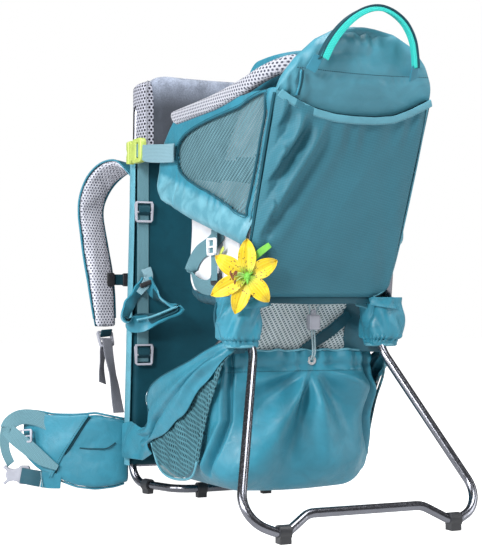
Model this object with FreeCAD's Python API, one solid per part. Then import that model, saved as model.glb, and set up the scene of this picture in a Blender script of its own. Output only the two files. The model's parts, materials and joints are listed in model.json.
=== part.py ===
"""A framed child carrier backpack: one STEP file per sub-part, in millimetres.

+Z is up, +Y points to the wearer's back and +X to the wearer's right. The origin is on the ground, at the middle
of the footprint. The carrier stands on its folding rear stand, so the stand is open at rest.
"""

import math
import os

import FreeCAD
import Part

V = FreeCAD.Vector
X_AXIS, Y_AXIS, Z_AXIS = V(1, 0, 0), V(0, 1, 0), V(0, 0, 1)
SIDES = {"left": -1, "right": 1}

# ---- driving dimensions ----
TUBE_R = 6.5            # frame and stand tubes, outer radius
TUBE_WALL = 1.2
BACK_Y = 213.0          # plane of the back frame's uprights
FOOT_Y = 97.0           # rear bar of the ground loop
UPRIGHT_X_TOP = 126.0
UPRIGHT_X_LOW = 134.0
FRAME_TOP_Z = 668.0
GROUND_TUBE_Z = 14.5    # centre height of tubes that stand on clip feet
HINGE_Y, HINGE_Z = -178.0, 279.0
LEG_X = 106.0           # stand legs where they leave the hinge
HOOP_X = 124.0          # cockpit hoop where it passes the hinge
STAND_FOOT_Y = -348.0
COVER_LOW = (-188.0, 327.0)    # (Y, Z) of the rear cover's edge seam at its lower end
COVER_HIGH = (-300.0, 597.0)   # and near its pocket's band
PANEL_HALF = 142.0      # back panel half width at the hips
PANEL_Y = (200.0, 226.0)
BAG_HALF_X = 148.0
BAG_Y = (-152.0, 92.0)
BAG_WALL = 4.0

PARTS = {}


def add(name, *shapes):
    """Keeps the shapes as one named sub-part made of separate solids."""
    solids = [s for shape in shapes for s in shape.Solids]
    PARTS.setdefault(name, []).extend(solids)
    return shapes[0]


def lean_y(z, off=0.0):
    """Y of the leaning rear cover's edge seam at height z, moved rearwards by off."""
    slope = (COVER_HIGH[0] - COVER_LOW[0]) / (COVER_HIGH[1] - COVER_LOW[1])
    return COVER_LOW[0] + (z - COVER_LOW[1]) * slope - off


def mirror(shape):
    return shape.mirror(V(0, 0, 0), X_AXIS)


def on_side(shape, side):
    """A shape drawn on the right (+X), moved to the named side."""
    return shape if SIDES[side] > 0 else mirror(shape)


def box(low, high, fillet=0.0):
    made = Part.makeBox(high[0] - low[0], high[1] - low[1], high[2] - low[2], V(*low))
    return made.makeFillet(fillet, made.Edges) if fillet else made


def cylinder(start, end, radius):
    start, end = V(*start), V(*end)
    return Part.makeCylinder(radius, (end - start).Length, start, end - start)


def path_wire(points, radii):
    """Straight runs through the points, joined by tangent arcs of the given radii at the inner points."""
    points = [V(*p) for p in points]
    edges, start = [], points[0]
    for i in range(1, len(points) - 1):
        before = (points[i] - points[i - 1]).normalize()
        after = (points[i + 1] - points[i]).normalize()
        turn = before.getAngle(after)
        radius = radii[i - 1] if isinstance(radii, (list, tuple)) else radii
        reach = radius * math.tan(turn / 2)
        enter, leave = points[i] - before * reach, points[i] + after * reach
        inward = (after - before).normalize()
        middle = points[i] + inward * (radius / math.cos(turn / 2) - radius)
        edges.append(Part.LineSegment(start, enter).toShape())
        edges.append(Part.Arc(enter, middle, leave).toShape())
        start = leave
    edges.append(Part.LineSegment(start, points[-1]).toShape())
    return Part.Wire(edges)


def swept_circle(points, radii, radius):
    wire = path_wire(points, radii)
    direction = V(*points[1]) - V(*points[0])
    circle = Part.Wire(Part.makeCircle(radius, V(*points[0]), direction))
    return wire.makePipeShell([circle], True, False)


def tube(points, radii, radius=TUBE_R, wall=TUBE_WALL):
    """A hollow bent tube."""
    return swept_circle(points, radii, radius).cut(swept_circle(points, radii, radius - wall))


def rod(points, radii, radius):
    return swept_circle(points, radii, radius)


def section(centre, along, wide, width, thick):
    """A flat rectangular outline across the direction `along`, `width` long in the direction `wide`."""
    centre, along, wide = V(*centre), V(*along).normalize(), V(*wide)
    wide = (wide - along * wide.dot(along)).normalize()
    up = along.cross(wide)
    corners = [centre + wide * (a * width / 2) + up * (b * thick / 2)
               for a, b in ((-1, -1), (1, -1), (1, 1), (-1, 1))]
    return Part.makePolygon(corners + corners[:1])


def strap(centres, wide, widths, thicks, ruled=False):
    """A smooth flat strap lofted through rectangular sections at the centres."""
    count = len(centres)
    widths = widths if isinstance(widths, (list, tuple)) else [widths] * count
    thicks = thicks if isinstance(thicks, (list, tuple)) else [thicks] * count
    wides = wide if isinstance(wide, list) else [wide] * count
    wires = []
    for i, centre in enumerate(centres):
        before, after = V(*centres[max(i - 1, 0)]), V(*centres[min(i + 1, count - 1)])
        wires.append(section(centre, after - before, wides[i], widths[i], thicks[i]))
    made = Part.makeLoft(wires, True, ruled)
    if made.Volume < 0:
        made.reverse()
    return made


def bent_webbing(points, radii, wide, width, thick):
    """Webbing of constant section along straight runs and arcs in one plane."""
    profile = section(points[0], V(*points[1]) - V(*points[0]), wide, width, thick)
    return path_wire(points, radii).makePipeShell([profile], True, False)


def prism(profile, x_low, x_high, fillet=0.0):
    """A (Y, Z) outline pulled along X."""
    corners = [V(x_low, y, z) for y, z in profile]
    face = Part.Face(Part.makePolygon(corners + corners[:1]))
    made = face.extrude(V(x_high - x_low, 0, 0))
    return made.makeFillet(fillet, made.Edges) if fillet else made


def plan_prism(outline, z_low, z_high):
    """An (X, Y) outline pulled up along Z."""
    corners = [V(x, y, z_low) for x, y in outline]
    return Part.Face(Part.makePolygon(corners + corners[:1])).extrude(V(0, 0, z_high - z_low))


def front_prism(outline, y_low, y_high):
    """An (X, Z) outline pulled along Y."""
    corners = [V(x, y_low, z) for x, z in outline]
    return Part.Face(Part.makePolygon(corners + corners[:1])).extrude(V(0, y_high - y_low, 0))


def turned(shape, centre, axis, degrees):
    made = shape.copy()
    made.rotate(V(*centre), axis, degrees)
    return made


def ladder_lock(centre, width, height, thick, slot_height):
    """A flat frame in the XZ plane, facing Y, with two slots that webbing threads through."""
    cx, cy, cz = centre
    frame = box((cx - width / 2, cy - thick / 2, cz - height / 2),
                (cx + width / 2, cy + thick / 2, cz + height / 2), 1.2)
    for k in (-1, 1):
        slot_z = cz + k * height / 4
        slot = box((cx - width / 2 + 3.5, cy - thick, slot_z - slot_height / 2),
                   (cx + width / 2 - 3.5, cy + thick, slot_z + slot_height / 2))
        frame = frame.cut(slot)
    return frame


# ---- metal frame ----
FRAME_CORNERS = [
    (UPRIGHT_X_TOP, BACK_Y, FRAME_TOP_Z),
    (UPRIGHT_X_LOW, BACK_Y, GROUND_TUBE_Z),
    (96.0, FOOT_Y, GROUND_TUBE_Z),
]
FRAME_RADII = [38.0, 34.0, 42.0]
STAND_DROP = HINGE_Z - GROUND_TUBE_Z
STAND_RUN = STAND_FOOT_Y - HINGE_Y
STAND_REACH = math.hypot(STAND_DROP, STAND_RUN)
STAND_RADII = [60.0, 44.0, 26.0, 30.0]
INNER = 10.0            # the hoop runs this far inside the cover's edge seam
HOOP_HALF = [
    (121.0, 199.0, 84.0),
    (HOOP_X, HINGE_Y, HINGE_Z),
    (110.0, lean_y(430.0) + INNER, 430.0),
    (106.0, lean_y(582.0) + INNER, 582.0),
    (78.0, lean_y(620.0) + INNER, 620.0),
]
HOOP_RADII = [46.0, 60.0, 60.0, 36.0]


def both_halves(points, radii):
    """A path on the right side carried on to its mirror image on the left."""
    left = [(-x, y, z) for x, y, z in reversed(points)]
    return points + left, radii + radii[::-1]


def frame_path():
    """The back frame and its ground loop, from a joint in the top crossbar round to the same place."""
    points, radii = both_halves(FRAME_CORNERS, FRAME_RADII)
    return [(0.5, BACK_Y, FRAME_TOP_Z), *points, (-0.5, BACK_Y, FRAME_TOP_Z)], radii


def stand_point(x, s):
    """A point of the rear stand, s millimetres down its slope from the hinge axis."""
    return (x, HINGE_Y + STAND_RUN * s / STAND_REACH, HINGE_Z - STAND_DROP * s / STAND_REACH)


def stand_path():
    right = [
        stand_point(LEG_X, 12.0),
        stand_point(LEG_X, 46.0),
        stand_point(188.0, STAND_REACH - 22.0),
        stand_point(131.0, STAND_REACH + 4.2),
        stand_point(88.0, STAND_REACH - 24.0),
    ]
    return both_halves(right, STAND_RADII)


def make_frame():
    add("main_frame_tube", tube(*frame_path()))
    points, radii = both_halves(HOOP_HALF, HOOP_RADII)
    add("cockpit_hoop_tube", tube(points, radii))
    uprights = rod(*frame_path(), TUBE_R)
    hoop_end = rod(HOOP_HALF[:2], [], TUBE_R)
    for side in SIDES:
        # a moulded saddle joins each end of the hoop to its upright
        saddle = box((112, 188, 68), (UPRIGHT_X_LOW + 7.8, BACK_Y + 9.5, 104), 3.0)
        add("hoop_saddles", on_side(saddle.cut(uprights).cut(hoop_end), side))
        stay = box((42, BACK_Y - 1.5, 70), (62, BACK_Y + 1.5, FRAME_TOP_Z - TUBE_R - 4))
        add("back_stays", on_side(stay, side))


def clip_foot(centre, direction, length=15.0):
    """A snap-on plastic foot: a sleeve round the ground tube with a flat pad under it."""
    centre, direction = V(*centre), V(*direction).normalize()
    start = centre - direction * (length / 2)
    across = Z_AXIS.cross(direction).normalize()
    drop = centre.z
    outline = [start + across * a - Z_AXIS * b
               for a, b in ((-7, 0), (-5.5, drop), (5.5, drop), (7, 0), (-7, 0))]
    pad = Part.Face(Part.makePolygon(outline)).extrude(direction * length)
    sleeve = Part.makeCylinder(TUBE_R + 3.2, length, start, direction)
    bore = Part.makeCylinder(TUBE_R, length + 2, start - direction, direction)
    return sleeve.fuse(pad).cut(bore).removeSplitter()


def make_ground_feet():
    rear = FRAME_CORNERS[2]
    along = (rear[0] - UPRIGHT_X_LOW, FOOT_Y - BACK_Y, 0)
    share = 0.34
    front = (UPRIGHT_X_LOW + along[0] * share, BACK_Y + along[1] * share, GROUND_TUBE_Z)
    for side in SIDES:
        add("ground_loop_feet", on_side(clip_foot((58.0, FOOT_Y, GROUND_TUBE_Z), X_AXIS), side))
        add("ground_loop_feet", on_side(clip_foot(front, along), side))


def make_stand():
    """The folding rear stand, its pivots and the housings that hold it on the cockpit hoop."""
    stand = tube(*stand_path())
    stand_solid = rod(*stand_path(), TUBE_R)
    hoop = rod(*both_halves(HOOP_HALF, HOOP_RADII), TUBE_R)
    add("stand_tube", stand)
    foot_x, foot_y, _ = stand_point(131.0, STAND_REACH)
    pivot_bore = cylinder((60, HINGE_Y, HINGE_Z), (140, HINGE_Y, HINGE_Z), 4.06)
    house_x = LEG_X + 8.6
    lean, drop = STAND_RUN / STAND_REACH, STAND_DROP / STAND_REACH
    stop_s, stop_off = 18.0, TUBE_R + 3.3
    stop_y = HINGE_Y + lean * stop_s - drop * stop_off
    stop_z = HINGE_Z - drop * stop_s - lean * stop_off
    for side in SIDES:
        block = box((foot_x - 8.5, foot_y - 9, -6), (foot_x + 8.5, foot_y + 9, GROUND_TUBE_Z + 4), 2.5)
        collar = cylinder((foot_x - 8.5, foot_y, GROUND_TUBE_Z), (foot_x + 8.5, foot_y, GROUND_TUBE_Z), 10.0)
        below = box((foot_x - 30, foot_y - 30, -40), (foot_x + 30, foot_y + 30, 0))
        add("stand_feet", on_side(block.fuse(collar).cut(below).cut(stand_solid).removeSplitter(), side))
        eye = cylinder((LEG_X - 8, HINGE_Y, HINGE_Z), (LEG_X + 8, HINGE_Y, HINGE_Z), 11.5)
        plug = cylinder(stand_point(LEG_X, 4.0), stand_point(LEG_X + 4.0, 32.0), 4.4)
        eye = eye.fuse(plug).cut(pivot_bore).cut(stand)
        add("stand_pivot_eyes", on_side(max(eye.Solids, key=lambda s: s.Volume), side))
        pin = cylinder((LEG_X - 11, HINGE_Y, HINGE_Z), (HOOP_X, HINGE_Y, HINGE_Z), 4.0)
        head = cylinder((LEG_X - 11, HINGE_Y, HINGE_Z), (LEG_X - 8.4, HINGE_Y, HINGE_Z), 7.0)
        pin = max(pin.fuse(head).removeSplitter().cut(hoop).Solids, key=lambda s: s.Volume)
        add("stand_pivot_pins", on_side(pin, side))
        housing = box((house_x, HINGE_Y - 20, HINGE_Z - 20), (HOOP_X + 9.5, HINGE_Y + 18, HINGE_Z + 18), 3.0)
        # the open leg rests against this peg
        peg = cylinder((LEG_X - 6, stop_y, stop_z), (house_x + 4, stop_y, stop_z), 3.0)
        housing = housing.fuse(peg).cut(hoop).cut(pin).removeSplitter()
        add("stand_hinge_housings", on_side(housing, side))
        outer = box((LEG_X - 16, HINGE_Y - 31, 249), (HOOP_X + 15, HINGE_Y + 37, 317), 9.0)
        inner = box((LEG_X - 13, HINGE_Y - 28, 200), (HOOP_X + 12, HINGE_Y + 34, 314), 6.0)
        below = box((0, -400, 200), (200, 0, 256))
        room = rod(HOOP_HALF[:3], HOOP_RADII[:1], TUBE_R + 0.6)
        sleeve = outer.cut(inner).cut(below).cut(room)
        add("hinge_sleeves", on_side(max(sleeve.Solids, key=lambda s: s.Volume), side))


# ---- back panel, on the wearer's side ----
PANEL_OUTLINE = [(PANEL_HALF, 40), (PANEL_HALF, 120), (PANEL_HALF - 8, 470), (PANEL_HALF - 9, 560)]


def make_back_panel():
    frame = rod(*frame_path(), TUBE_R + 0.1)
    outline = PANEL_OUTLINE + [(-x, z) for x, z in reversed(PANEL_OUTLINE)]
    panel = front_prism(outline, *PANEL_Y)
    stay_slots = box((41.8, BACK_Y - 1.7, 60), (62.2, BACK_Y + 1.7, 700))
    stay_slots = stay_slots.fuse(mirror(stay_slots))
    saddle_room = box((111.6, 187, 67.6), (160, BACK_Y + 9.9, 104.4))
    panel = panel.cut(frame).cut(stay_slots).cut(saddle_room).cut(mirror(saddle_room))
    add("back_panel", max(panel.Solids, key=lambda s: s.Volume))
    neck = plan_prism([(-131, 198), (131, 198), (118, 243), (-118, 243)], 560.4, 694)
    neck = neck.makeFillet(10, [e for e in neck.Edges if all(v.Z > 690 for v in e.Vertexes)])
    neck = neck.cut(frame).cut(stay_slots)
    add("neck_mesh_pad", max(neck.Solids, key=lambda s: s.Volume))
    chin = plan_prism([(-129, 166), (129, 166), (133, 197.6), (-133, 197.6)], 558, 702)
    add("chin_pad", chin.makeFillet(12, chin.Edges))
    for side in SIDES:
        add("back_pads", on_side(box((22, PANEL_Y[1] + 0.4, 190), (104, 246, 548), 6.0), side))
    add("lumbar_pad", box((-126, PANEL_Y[1] + 0.4, 34), (126, 250, 160), 7.0))


# ---- child's cockpit ----
WALL_X = 136.0
WALL_TURN = -2.6        # each wall narrows towards the rear, degrees
WALL_OUTLINE = [
    (24, 600), (71, 565), (89, 531), (86, 511), (74, 485), (53, 473), (-45, 445), (-114, 424), (-214, 394),
    (lean_y(600.0) + 6, 600.0), (lean_y(612.0) + 6, 612.0), (-200, 604), (-100, 600),
]
RIM_HALF = [(WALL_X - 0.5, 22, 600), (WALL_X - 4, -112, 605), (WALL_X - 11, -226, 622), (98, -292, 642)]
RIM_RADII = [120.0, 90.0, 46.0]
RIM_R = 11.5
COVER_HALF = [(116, 320), (121, 597), (113, 625), (99, 646), (77, 668), (46, 684), (16, 691)]


def make_cockpit():
    rim_room = rod(*both_halves(RIM_HALF, RIM_RADII), RIM_R + 0.4)
    add("cockpit_rim_pad", rod(*both_halves(RIM_HALF, RIM_RADII), RIM_R))
    cover_room = prism([(lean_y(300, -12.4), 300), (lean_y(700, -12.4), 700), (-500, 700), (-500, 300)],
                       -200, 200)
    for side in SIDES:
        wall = turned(prism(WALL_OUTLINE, WALL_X - 3, WALL_X + 3), (WALL_X, 24, 0), Z_AXIS, WALL_TURN)
        wall = wall.cut(rim_room).cut(cover_room)
        add(f"cockpit_side_{side}", on_side(max(wall.Solids, key=lambda s: s.Volume), side))
    # rear cover: a leaning padded panel that swells outwards below its top edge
    cover_side = [
        (lean_y(320, -2), 320), (lean_y(600, -2), 600), (lean_y(640, -2), 640), (-311, 672), (-306, 692),
        (-322, 692), (-336, 672), (-341, 640), (lean_y(597, 12), 597), (lean_y(320, 9), 320),
    ]
    outline = COVER_HALF + [(-x, z) for x, z in reversed(COVER_HALF)]
    cover = prism(cover_side, -125, 125).common(front_prism(outline, -400, -150)).cut(rim_room)
    hoop_room = rod(*both_halves(HOOP_HALF, HOOP_RADII), TUBE_R + 0.3)
    add("rear_cover", max(cover.cut(hoop_room).Solids, key=lambda s: s.Volume))
    pocket_side = [
        (lean_y(330, 9.6), 330), (lean_y(590, 12.2), 590), (lean_y(590, 19), 590), (lean_y(470, 23), 470),
        (lean_y(345, 18), 345), (lean_y(330, 14), 330),
    ]
    band_dip = front_prism([(-110, 600), (-60, 574), (0, 562), (60, 574), (110, 600)], -420, -150)
    add("rear_pocket", prism(pocket_side, -115, 115).cut(band_dip))


HANDLE_FOOT = (73.0, -352.0, 634.0)


def make_grab_handle():
    """A padded webbing handle that arches over the rear cover's top seam."""
    half, foot_y, foot_z = HANDLE_FOOT
    rise, steps = 80.0, 12
    centres = []
    for k in range(steps + 1):
        turn = math.pi * k / steps
        centres.append((-half * math.cos(turn), foot_y, foot_z + rise * math.sin(turn)))
    add("grab_handle", strap(centres, Y_AXIS, 16.0, 5.0))


SEAT_BACK_Y = -128.0
HEADREST_BACK_Y = -252.0
HEADREST_LEAN = 0.30    # rearwards per unit of height


def make_seat():
    """The height-adjustable saddle the child sits on, its adjusters, the headrest and the harness."""
    plan = [(-60, 100), (60, 100), (72, 46), (86, 10), (86, SEAT_BACK_Y), (-86, SEAT_BACK_Y), (-86, 10),
            (-72, 46)]
    seat = plan_prism(plan, 322, 352)
    seat = seat.makeFillet(9, seat.Edges)
    for side in SIDES:
        flap = prism([(SEAT_BACK_Y, 336), (44, 334), (56, 452), (-40, 436), (SEAT_BACK_Y, 410)], 84, 92)
        seat = seat.fuse(on_side(flap, side))
    add("seat_saddle", seat.removeSplitter())
    for side in SIDES:
        add("seat_adjuster_straps", on_side(box((105, -76, 346), (107, -54, 425)), side))
        lock = turned(ladder_lock((0, 0, 0), 30, 26, 4.5, 5.5), (0, 0, 0), Z_AXIS, 90)
        lock.translate(V(110.4, -65, 398))
        add("seat_adjuster_locks", on_side(lock, side))
    back, front = HEADREST_BACK_Y, HEADREST_BACK_Y + 138
    half_plan = [(66, back), (90, back + 60), (90, front), (76, front), (74, back + 62), (56, back + 18)]
    plan = half_plan + [(-x, y) for x, y in reversed(half_plan)]
    leaning = FreeCAD.Matrix()
    leaning.A23 = -HEADREST_LEAN
    head = plan_prism(plan, 0, 102).transformGeometry(leaning)
    head.translate(V(0, 0, 562))
    add("headrest_pad", head)
    for side in SIDES:
        run = [(34, lean_y(530) + 8, 530), (38, lean_y(500) + 9, 500), (44, lean_y(456) + 24, 456),
               (46, lean_y(430) + 46, 430)]
        add("harness_straps", on_side(strap(run, X_AXIS, 28, 5), side))
        lower = [(46, lean_y(430) + 49.5, 428), (40, lean_y(430) + 80, 418), (26, lean_y(430) + 96, 413)]
        add("harness_straps", on_side(strap(lower, X_AXIS, 18, 2), side))
    add("harness_buckle", box((-16, lean_y(430) + 88, 402), (16, lean_y(430) + 98, 424), 2.0))


# ---- lower compartment ----
BAG_HALF_REAR = 128.0
BAG_LOW, BAG_HIGH = 34.0, 244.0


def bag_body(inset, low, high, bottom_fillet):
    """The bag's outer or inner form: a plan that narrows to the rear, with rounded upright corners."""
    front, rear = BAG_HALF_X - inset, BAG_HALF_REAR - inset
    y_rear, y_front = BAG_Y[0] + inset, BAG_Y[1] - inset
    body = plan_prism([(-rear, y_rear), (rear, y_rear), (front, y_front), (-front, y_front)], low, high)

    def upright_at(edge, y):
        ends = edge.Vertexes
        return abs(ends[0].Z - ends[1].Z) > 1 and abs(ends[0].Y - y) < 1

    body = body.makeFillet(48.0 - inset, [e for e in body.Edges if upright_at(e, y_rear)])
    body = body.makeFillet(24.0 - inset, [e for e in body.Edges if upright_at(e, y_front)])
    floor_edges = [e for e in body.Edges if all(abs(v.Z - low) < 0.1 for v in e.Vertexes)]
    return body.makeFillet(bottom_fillet, floor_edges)


GROMMET = (13.0, 229.0)  # (X, Z) in the bag's rear wall


def make_bag():
    outer = bag_body(0.0, BAG_LOW, BAG_HIGH, 38.0)
    inner = bag_body(BAG_WALL, BAG_LOW + BAG_WALL, BAG_HIGH + 40, 34.0)
    # the side tops fall towards the wearer
    above = prism([(-70, 300), (-70, 228), (20, 198), (86, 178), (130, 165), (130, 300)], -200, 200)
    hoop_room = rod(*both_halves(HOOP_HALF, HOOP_RADII), TUBE_R + 1.0)
    gx, gz = GROMMET
    rear, wall = BAG_Y[0], BAG_WALL
    hole = cylinder((gx, rear - 8, gz), (gx, rear + 12, gz), 4.0)
    bag = outer.cut(inner).cut(above).cut(hoop_room).cut(hole)
    add("lower_bag", max(bag.Solids, key=lambda s: s.Volume))
    ring = cylinder((gx, rear - 1.2, gz), (gx, rear + wall + 1.2, gz), 7.0)
    ring = ring.cut(cylinder((gx, rear - 2, gz), (gx, rear + wall + 2, gz), 3.2))
    cloth = cylinder((gx, rear, gz), (gx, rear + wall, gz), 8.0)
    cloth = cloth.cut(cylinder((gx, rear, gz), (gx, rear + wall, gz), 4.0))
    add("drawcord_grommet", ring.cut(cloth))
    taper = math.degrees(math.atan2(BAG_HALF_X - BAG_HALF_REAR, BAG_Y[1] - BAG_Y[0]))
    for side in SIDES:
        pocket = prism([(68, 60), (68, 160), (30, 168), (-60, 186), (-88, 182), (-70, 84), (-50, 74), (10, 72)],
                       BAG_HALF_X + 0.5, BAG_HALF_X + 4.5)
        pocket = turned(pocket, (BAG_HALF_X, BAG_Y[1], 0), Z_AXIS, -taper)
        add("side_mesh_pockets", on_side(pocket, side))
        wing = prism([(100, 60), (196, 52), (196, 106), (160, 112), (100, 104)], 142.6, 145.6)
        add("hip_stabilisers", on_side(wing, side))
        lock = turned(ladder_lock((0, 0, 0), 20, 24, 4, 4.2), (0, 0, 0), Z_AXIS, 90)
        lock.translate(V(115, 184, 155))
        add("compression_locks", on_side(lock, side))
    # mesh that closes the gap between the rear cover and the bag
    add("rear_mesh_panel", box((-74, -139, 240), (90, -136, 320)))


CORD_R = 1.3
CORD_LOCK = (11.0, -160.0, 288.0)


def make_drawcord():
    """Elastic cord from the grommet, up through the cord lock, to the cover's lower hem."""
    cx, cy, cz = CORD_LOCK
    gx, gz = GROMMET
    low_z, high_z = cz - 14, cz + 14
    for k in (-1, 1):
        low = [(gx + k * 1.6, BAG_Y[0] - 0.2, gz), (gx + k * 1.7, cy, gz + 3),
               (cx + k * 1.8, cy, low_z - 0.3)]
        add("drawcord", rod(low, [4.0], CORD_R))
        high = [(cx + k * 5.4, cy, high_z + 0.3), (cx + k * 6.2, cy, high_z + 6),
                (cx + k * 11, cy - 9, 316.5)]
        add("drawcord", rod(high, [8.0], CORD_R))
    body = box((cx - 9, cy - 9, low_z), (cx + 9, cy + 5, high_z - 6), 3.0)
    add("cord_lock_body", body.cut(cylinder((cx, cy - 2, low_z + 6), (cx, cy - 2, high_z), 4.7)))
    stem = cylinder((cx, cy - 2, low_z + 11), (cx, cy - 2, high_z - 2), 4.4)
    cap = cylinder((cx, cy - 2, high_z - 1.5), (cx, cy - 2, high_z + 1.5), 3.6)
    add("cord_lock_button", stem.fuse(cap).removeSplitter())


# ---- shoulder harness ----
STRAP_LINE = [(78, 254, 498), (92, 274, 534), (118, 303, 551), (147, 326, 532), (166, 333, 484), (161, 329, 420),
              (152, 319, 345), (147, 310, 270)]
STRAP_ACROSS = [(1, 0, 0), (1, -0.15, 0.1), (0.9, -0.4, 0.25), (0.85, -0.5, 0.3), (0.85, -0.45, 0.1),
                (0.9, -0.35, 0), (0.92, -0.3, 0), (0.95, -0.25, 0)]
STRAP_WIDTHS = [56, 60, 62, 64, 64, 60, 54, 40]
STRAP_THICKS = [10, 12, 14, 14, 14, 13, 12, 10]


def make_shoulder_straps():
    for side in SIDES:
        pad = strap(STRAP_LINE, STRAP_ACROSS, STRAP_WIDTHS, STRAP_THICKS)
        add(f"shoulder_strap_{side}", on_side(pad, side))
        lifter = strap([(98, 262, 568), (102, 252, 596), (102, 246.5, 626)], X_AXIS, 20, 1.8)
        add("load_lifters", on_side(lifter, side))
        tail = strap([(147, 300, 246), (148, 283, 210), (146, 262, 165)], (0.96, -0.2, 0.1), 20, 2.2)
        add("shoulder_webbing", on_side(tail, side))
        lock = turned(ladder_lock((0, 0, 0), 30, 28, 5, 6), (0, 0, 0), X_AXIS, -20)
        lock = turned(lock, (0, 0, 0), Z_AXIS, -14)
        lock.translate(V(147, 312, 252))
        add(f"strap_ladder_lock_{side}", on_side(lock, side))
        buckle = box((95, 318, 343), (113, 327, 367), 2.2)
        add(f"chest_buckle_{side}", on_side(buckle, side))


# ---- hip belt ----
FIN_LINE = [(150, 238, 68), (184, 250, 68), (220, 272, 72), (252, 300, 77), (274, 328, 80)]


def make_hip_belt():
    for side in SIDES:
        fin = strap(FIN_LINE, Z_AXIS, [122, 126, 118, 102, 82], [20, 22, 20, 18, 13])
        add(f"hip_fin_{side}", on_side(fin, side))
        line = [(273, 308, 112), (294, 322, 104), (310, 318, 84), (308, 300, 62), (294, 282, 46), (286, 272, 40)]
        across = [(0, 0.2, 1), (0, 0.1, 1), (0.2, 0.4, 1), (0.25, 0.35, 1), (0.3, 0.4, 1), (0.3, 0.4, 1)]
        add(f"hip_webbing_{side}", on_side(strap(line, across, 34, 1.8), side))
        buckle = turned(box((-24, -6, -17), (24, 6, 17), 2.5), (0, 0, 0), Z_AXIS, 25)
        buckle.translate(V(300, 303, 24))
        add(f"hip_buckle_{side}", on_side(buckle, side))


# ---- side entry buckles and foot loops ----
BUCKLE_X, BUCKLE_Z = 146.0, 563.0


def make_side_entry():
    x, z = BUCKLE_X, BUCKLE_Z
    for side in SIDES:
        shell = box((x - 6, 128, z - 20), (x + 6, 186, z + 20), 3.0)
        socket = box((x - 3.4, 160, z - 15), (x + 3.4, 200, z + 15))
        slot = box((x - 10, 134, z - 15), (x + 10, 141, z + 15))
        add(f"entry_buckle_{side}", on_side(shell.cut(socket).cut(slot), side))
        # the tab's two prongs reach into the socket
        tab = box((x - 6, 186.5, z - 18), (x + 6, 198, z + 18), 1.5)
        for k in (-1, 1):
            tab = tab.fuse(box((x - 3, 162, z + k * 10 - 3), (x + 3, 188, z + k * 10 + 3)))
        add("entry_tabs", on_side(tab.removeSplitter(), side))
        add("entry_straps", on_side(box((x - 1, 66, z - 14.5), (x + 1, 127.6, z + 14.5)), side))
        add("stirrup_webbing", on_side(box((110, 196.8, 215), (132, 199.2, 556)), side))
        for lock_z in (466, 228):
            add("stirrup_locks", on_side(ladder_lock((121, 193.2, lock_z), 34, 36, 5, 6.5), side))
        loop = [(112, 192, 350), (112, 122, 294), (112, 136, 266), (112, 190, 263)]
        add(f"stirrup_loop_{side}", on_side(bent_webbing(loop, [10, 12], X_AXIS, 42, 3), side))


# ---- flower clip ----
FLOWER = (-126.0, -225.0, 350.0)


def make_flower():
    """A six-petal fabric flower on a clip, facing outwards from the left rear corner."""
    petal = Part.Ellipse(V(0, 0, 0), 19.0, 11.0)
    disc = cylinder((0, -5, 0), (0, 1, 0), 9.0)
    shape = disc
    for k in range(6):
        face = Part.Face(Part.Wire(petal.toShape()))
        blade = turned(face.extrude(V(0, 0, 3)), (0, 0, 0), X_AXIS, 90)
        blade.translate(V(27, 0, 0))
        shape = shape.fuse(turned(blade, (0, 0, 0), Y_AXIS, 60 * k + 25))
    shape = turned(shape.removeSplitter(), (0, 0, 0), Z_AXIS, -25)
    shape.translate(V(*FLOWER))
    add("flower_clip", shape)


MAKERS = [
    make_frame, make_ground_feet, make_stand, make_back_panel, make_cockpit, make_grab_handle, make_seat, make_bag,
    make_drawcord, make_shoulder_straps, make_hip_belt, make_side_entry, make_flower,
]


def main():
    os.makedirs("parts", exist_ok=True)
    for old in os.listdir("parts"):
        os.remove(os.path.join("parts", old))
    for make in MAKERS:
        make()
    for name, solids in sorted(PARTS.items()):
        shape = solids[0] if len(solids) == 1 else Part.makeCompound(solids)
        if not shape.isValid():
            print("invalid", name)
        shape.exportStep(f"parts/{name}.step")
    print(len(PARTS), "sub-parts")


main()
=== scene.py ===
"""A framed child carrier backpack: fabric, padding, webbing and finishes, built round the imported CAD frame."""
import json
import math

import bmesh
import bpy
import numpy as np
from mathutils import Matrix, Vector

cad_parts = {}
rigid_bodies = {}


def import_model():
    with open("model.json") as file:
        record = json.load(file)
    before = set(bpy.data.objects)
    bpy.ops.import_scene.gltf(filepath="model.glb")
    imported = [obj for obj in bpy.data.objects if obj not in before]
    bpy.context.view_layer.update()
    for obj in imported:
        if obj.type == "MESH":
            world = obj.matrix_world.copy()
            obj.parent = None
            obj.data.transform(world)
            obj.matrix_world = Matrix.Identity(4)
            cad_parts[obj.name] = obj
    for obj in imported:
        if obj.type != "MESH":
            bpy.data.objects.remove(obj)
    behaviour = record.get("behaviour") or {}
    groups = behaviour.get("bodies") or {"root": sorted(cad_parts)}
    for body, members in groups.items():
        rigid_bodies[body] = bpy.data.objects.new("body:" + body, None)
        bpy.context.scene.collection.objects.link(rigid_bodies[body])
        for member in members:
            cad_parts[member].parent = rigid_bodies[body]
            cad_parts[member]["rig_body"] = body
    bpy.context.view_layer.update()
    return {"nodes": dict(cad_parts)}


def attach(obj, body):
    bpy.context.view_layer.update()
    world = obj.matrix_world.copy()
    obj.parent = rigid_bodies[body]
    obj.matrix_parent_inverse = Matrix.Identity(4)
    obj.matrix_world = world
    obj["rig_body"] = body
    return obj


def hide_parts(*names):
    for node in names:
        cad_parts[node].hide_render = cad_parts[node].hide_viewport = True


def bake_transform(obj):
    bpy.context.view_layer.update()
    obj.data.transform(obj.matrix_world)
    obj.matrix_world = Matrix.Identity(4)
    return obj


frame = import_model()

MM = 0.001
SIDES = {"left": -1, "right": 1}
FRAME = "frame"


# ---------------------------------------------------------------- node helpers

DOT_ROWS = 0.62
DOT_SOFTNESS = 0.25
FACING_SHARPNESS = 6.0


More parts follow.
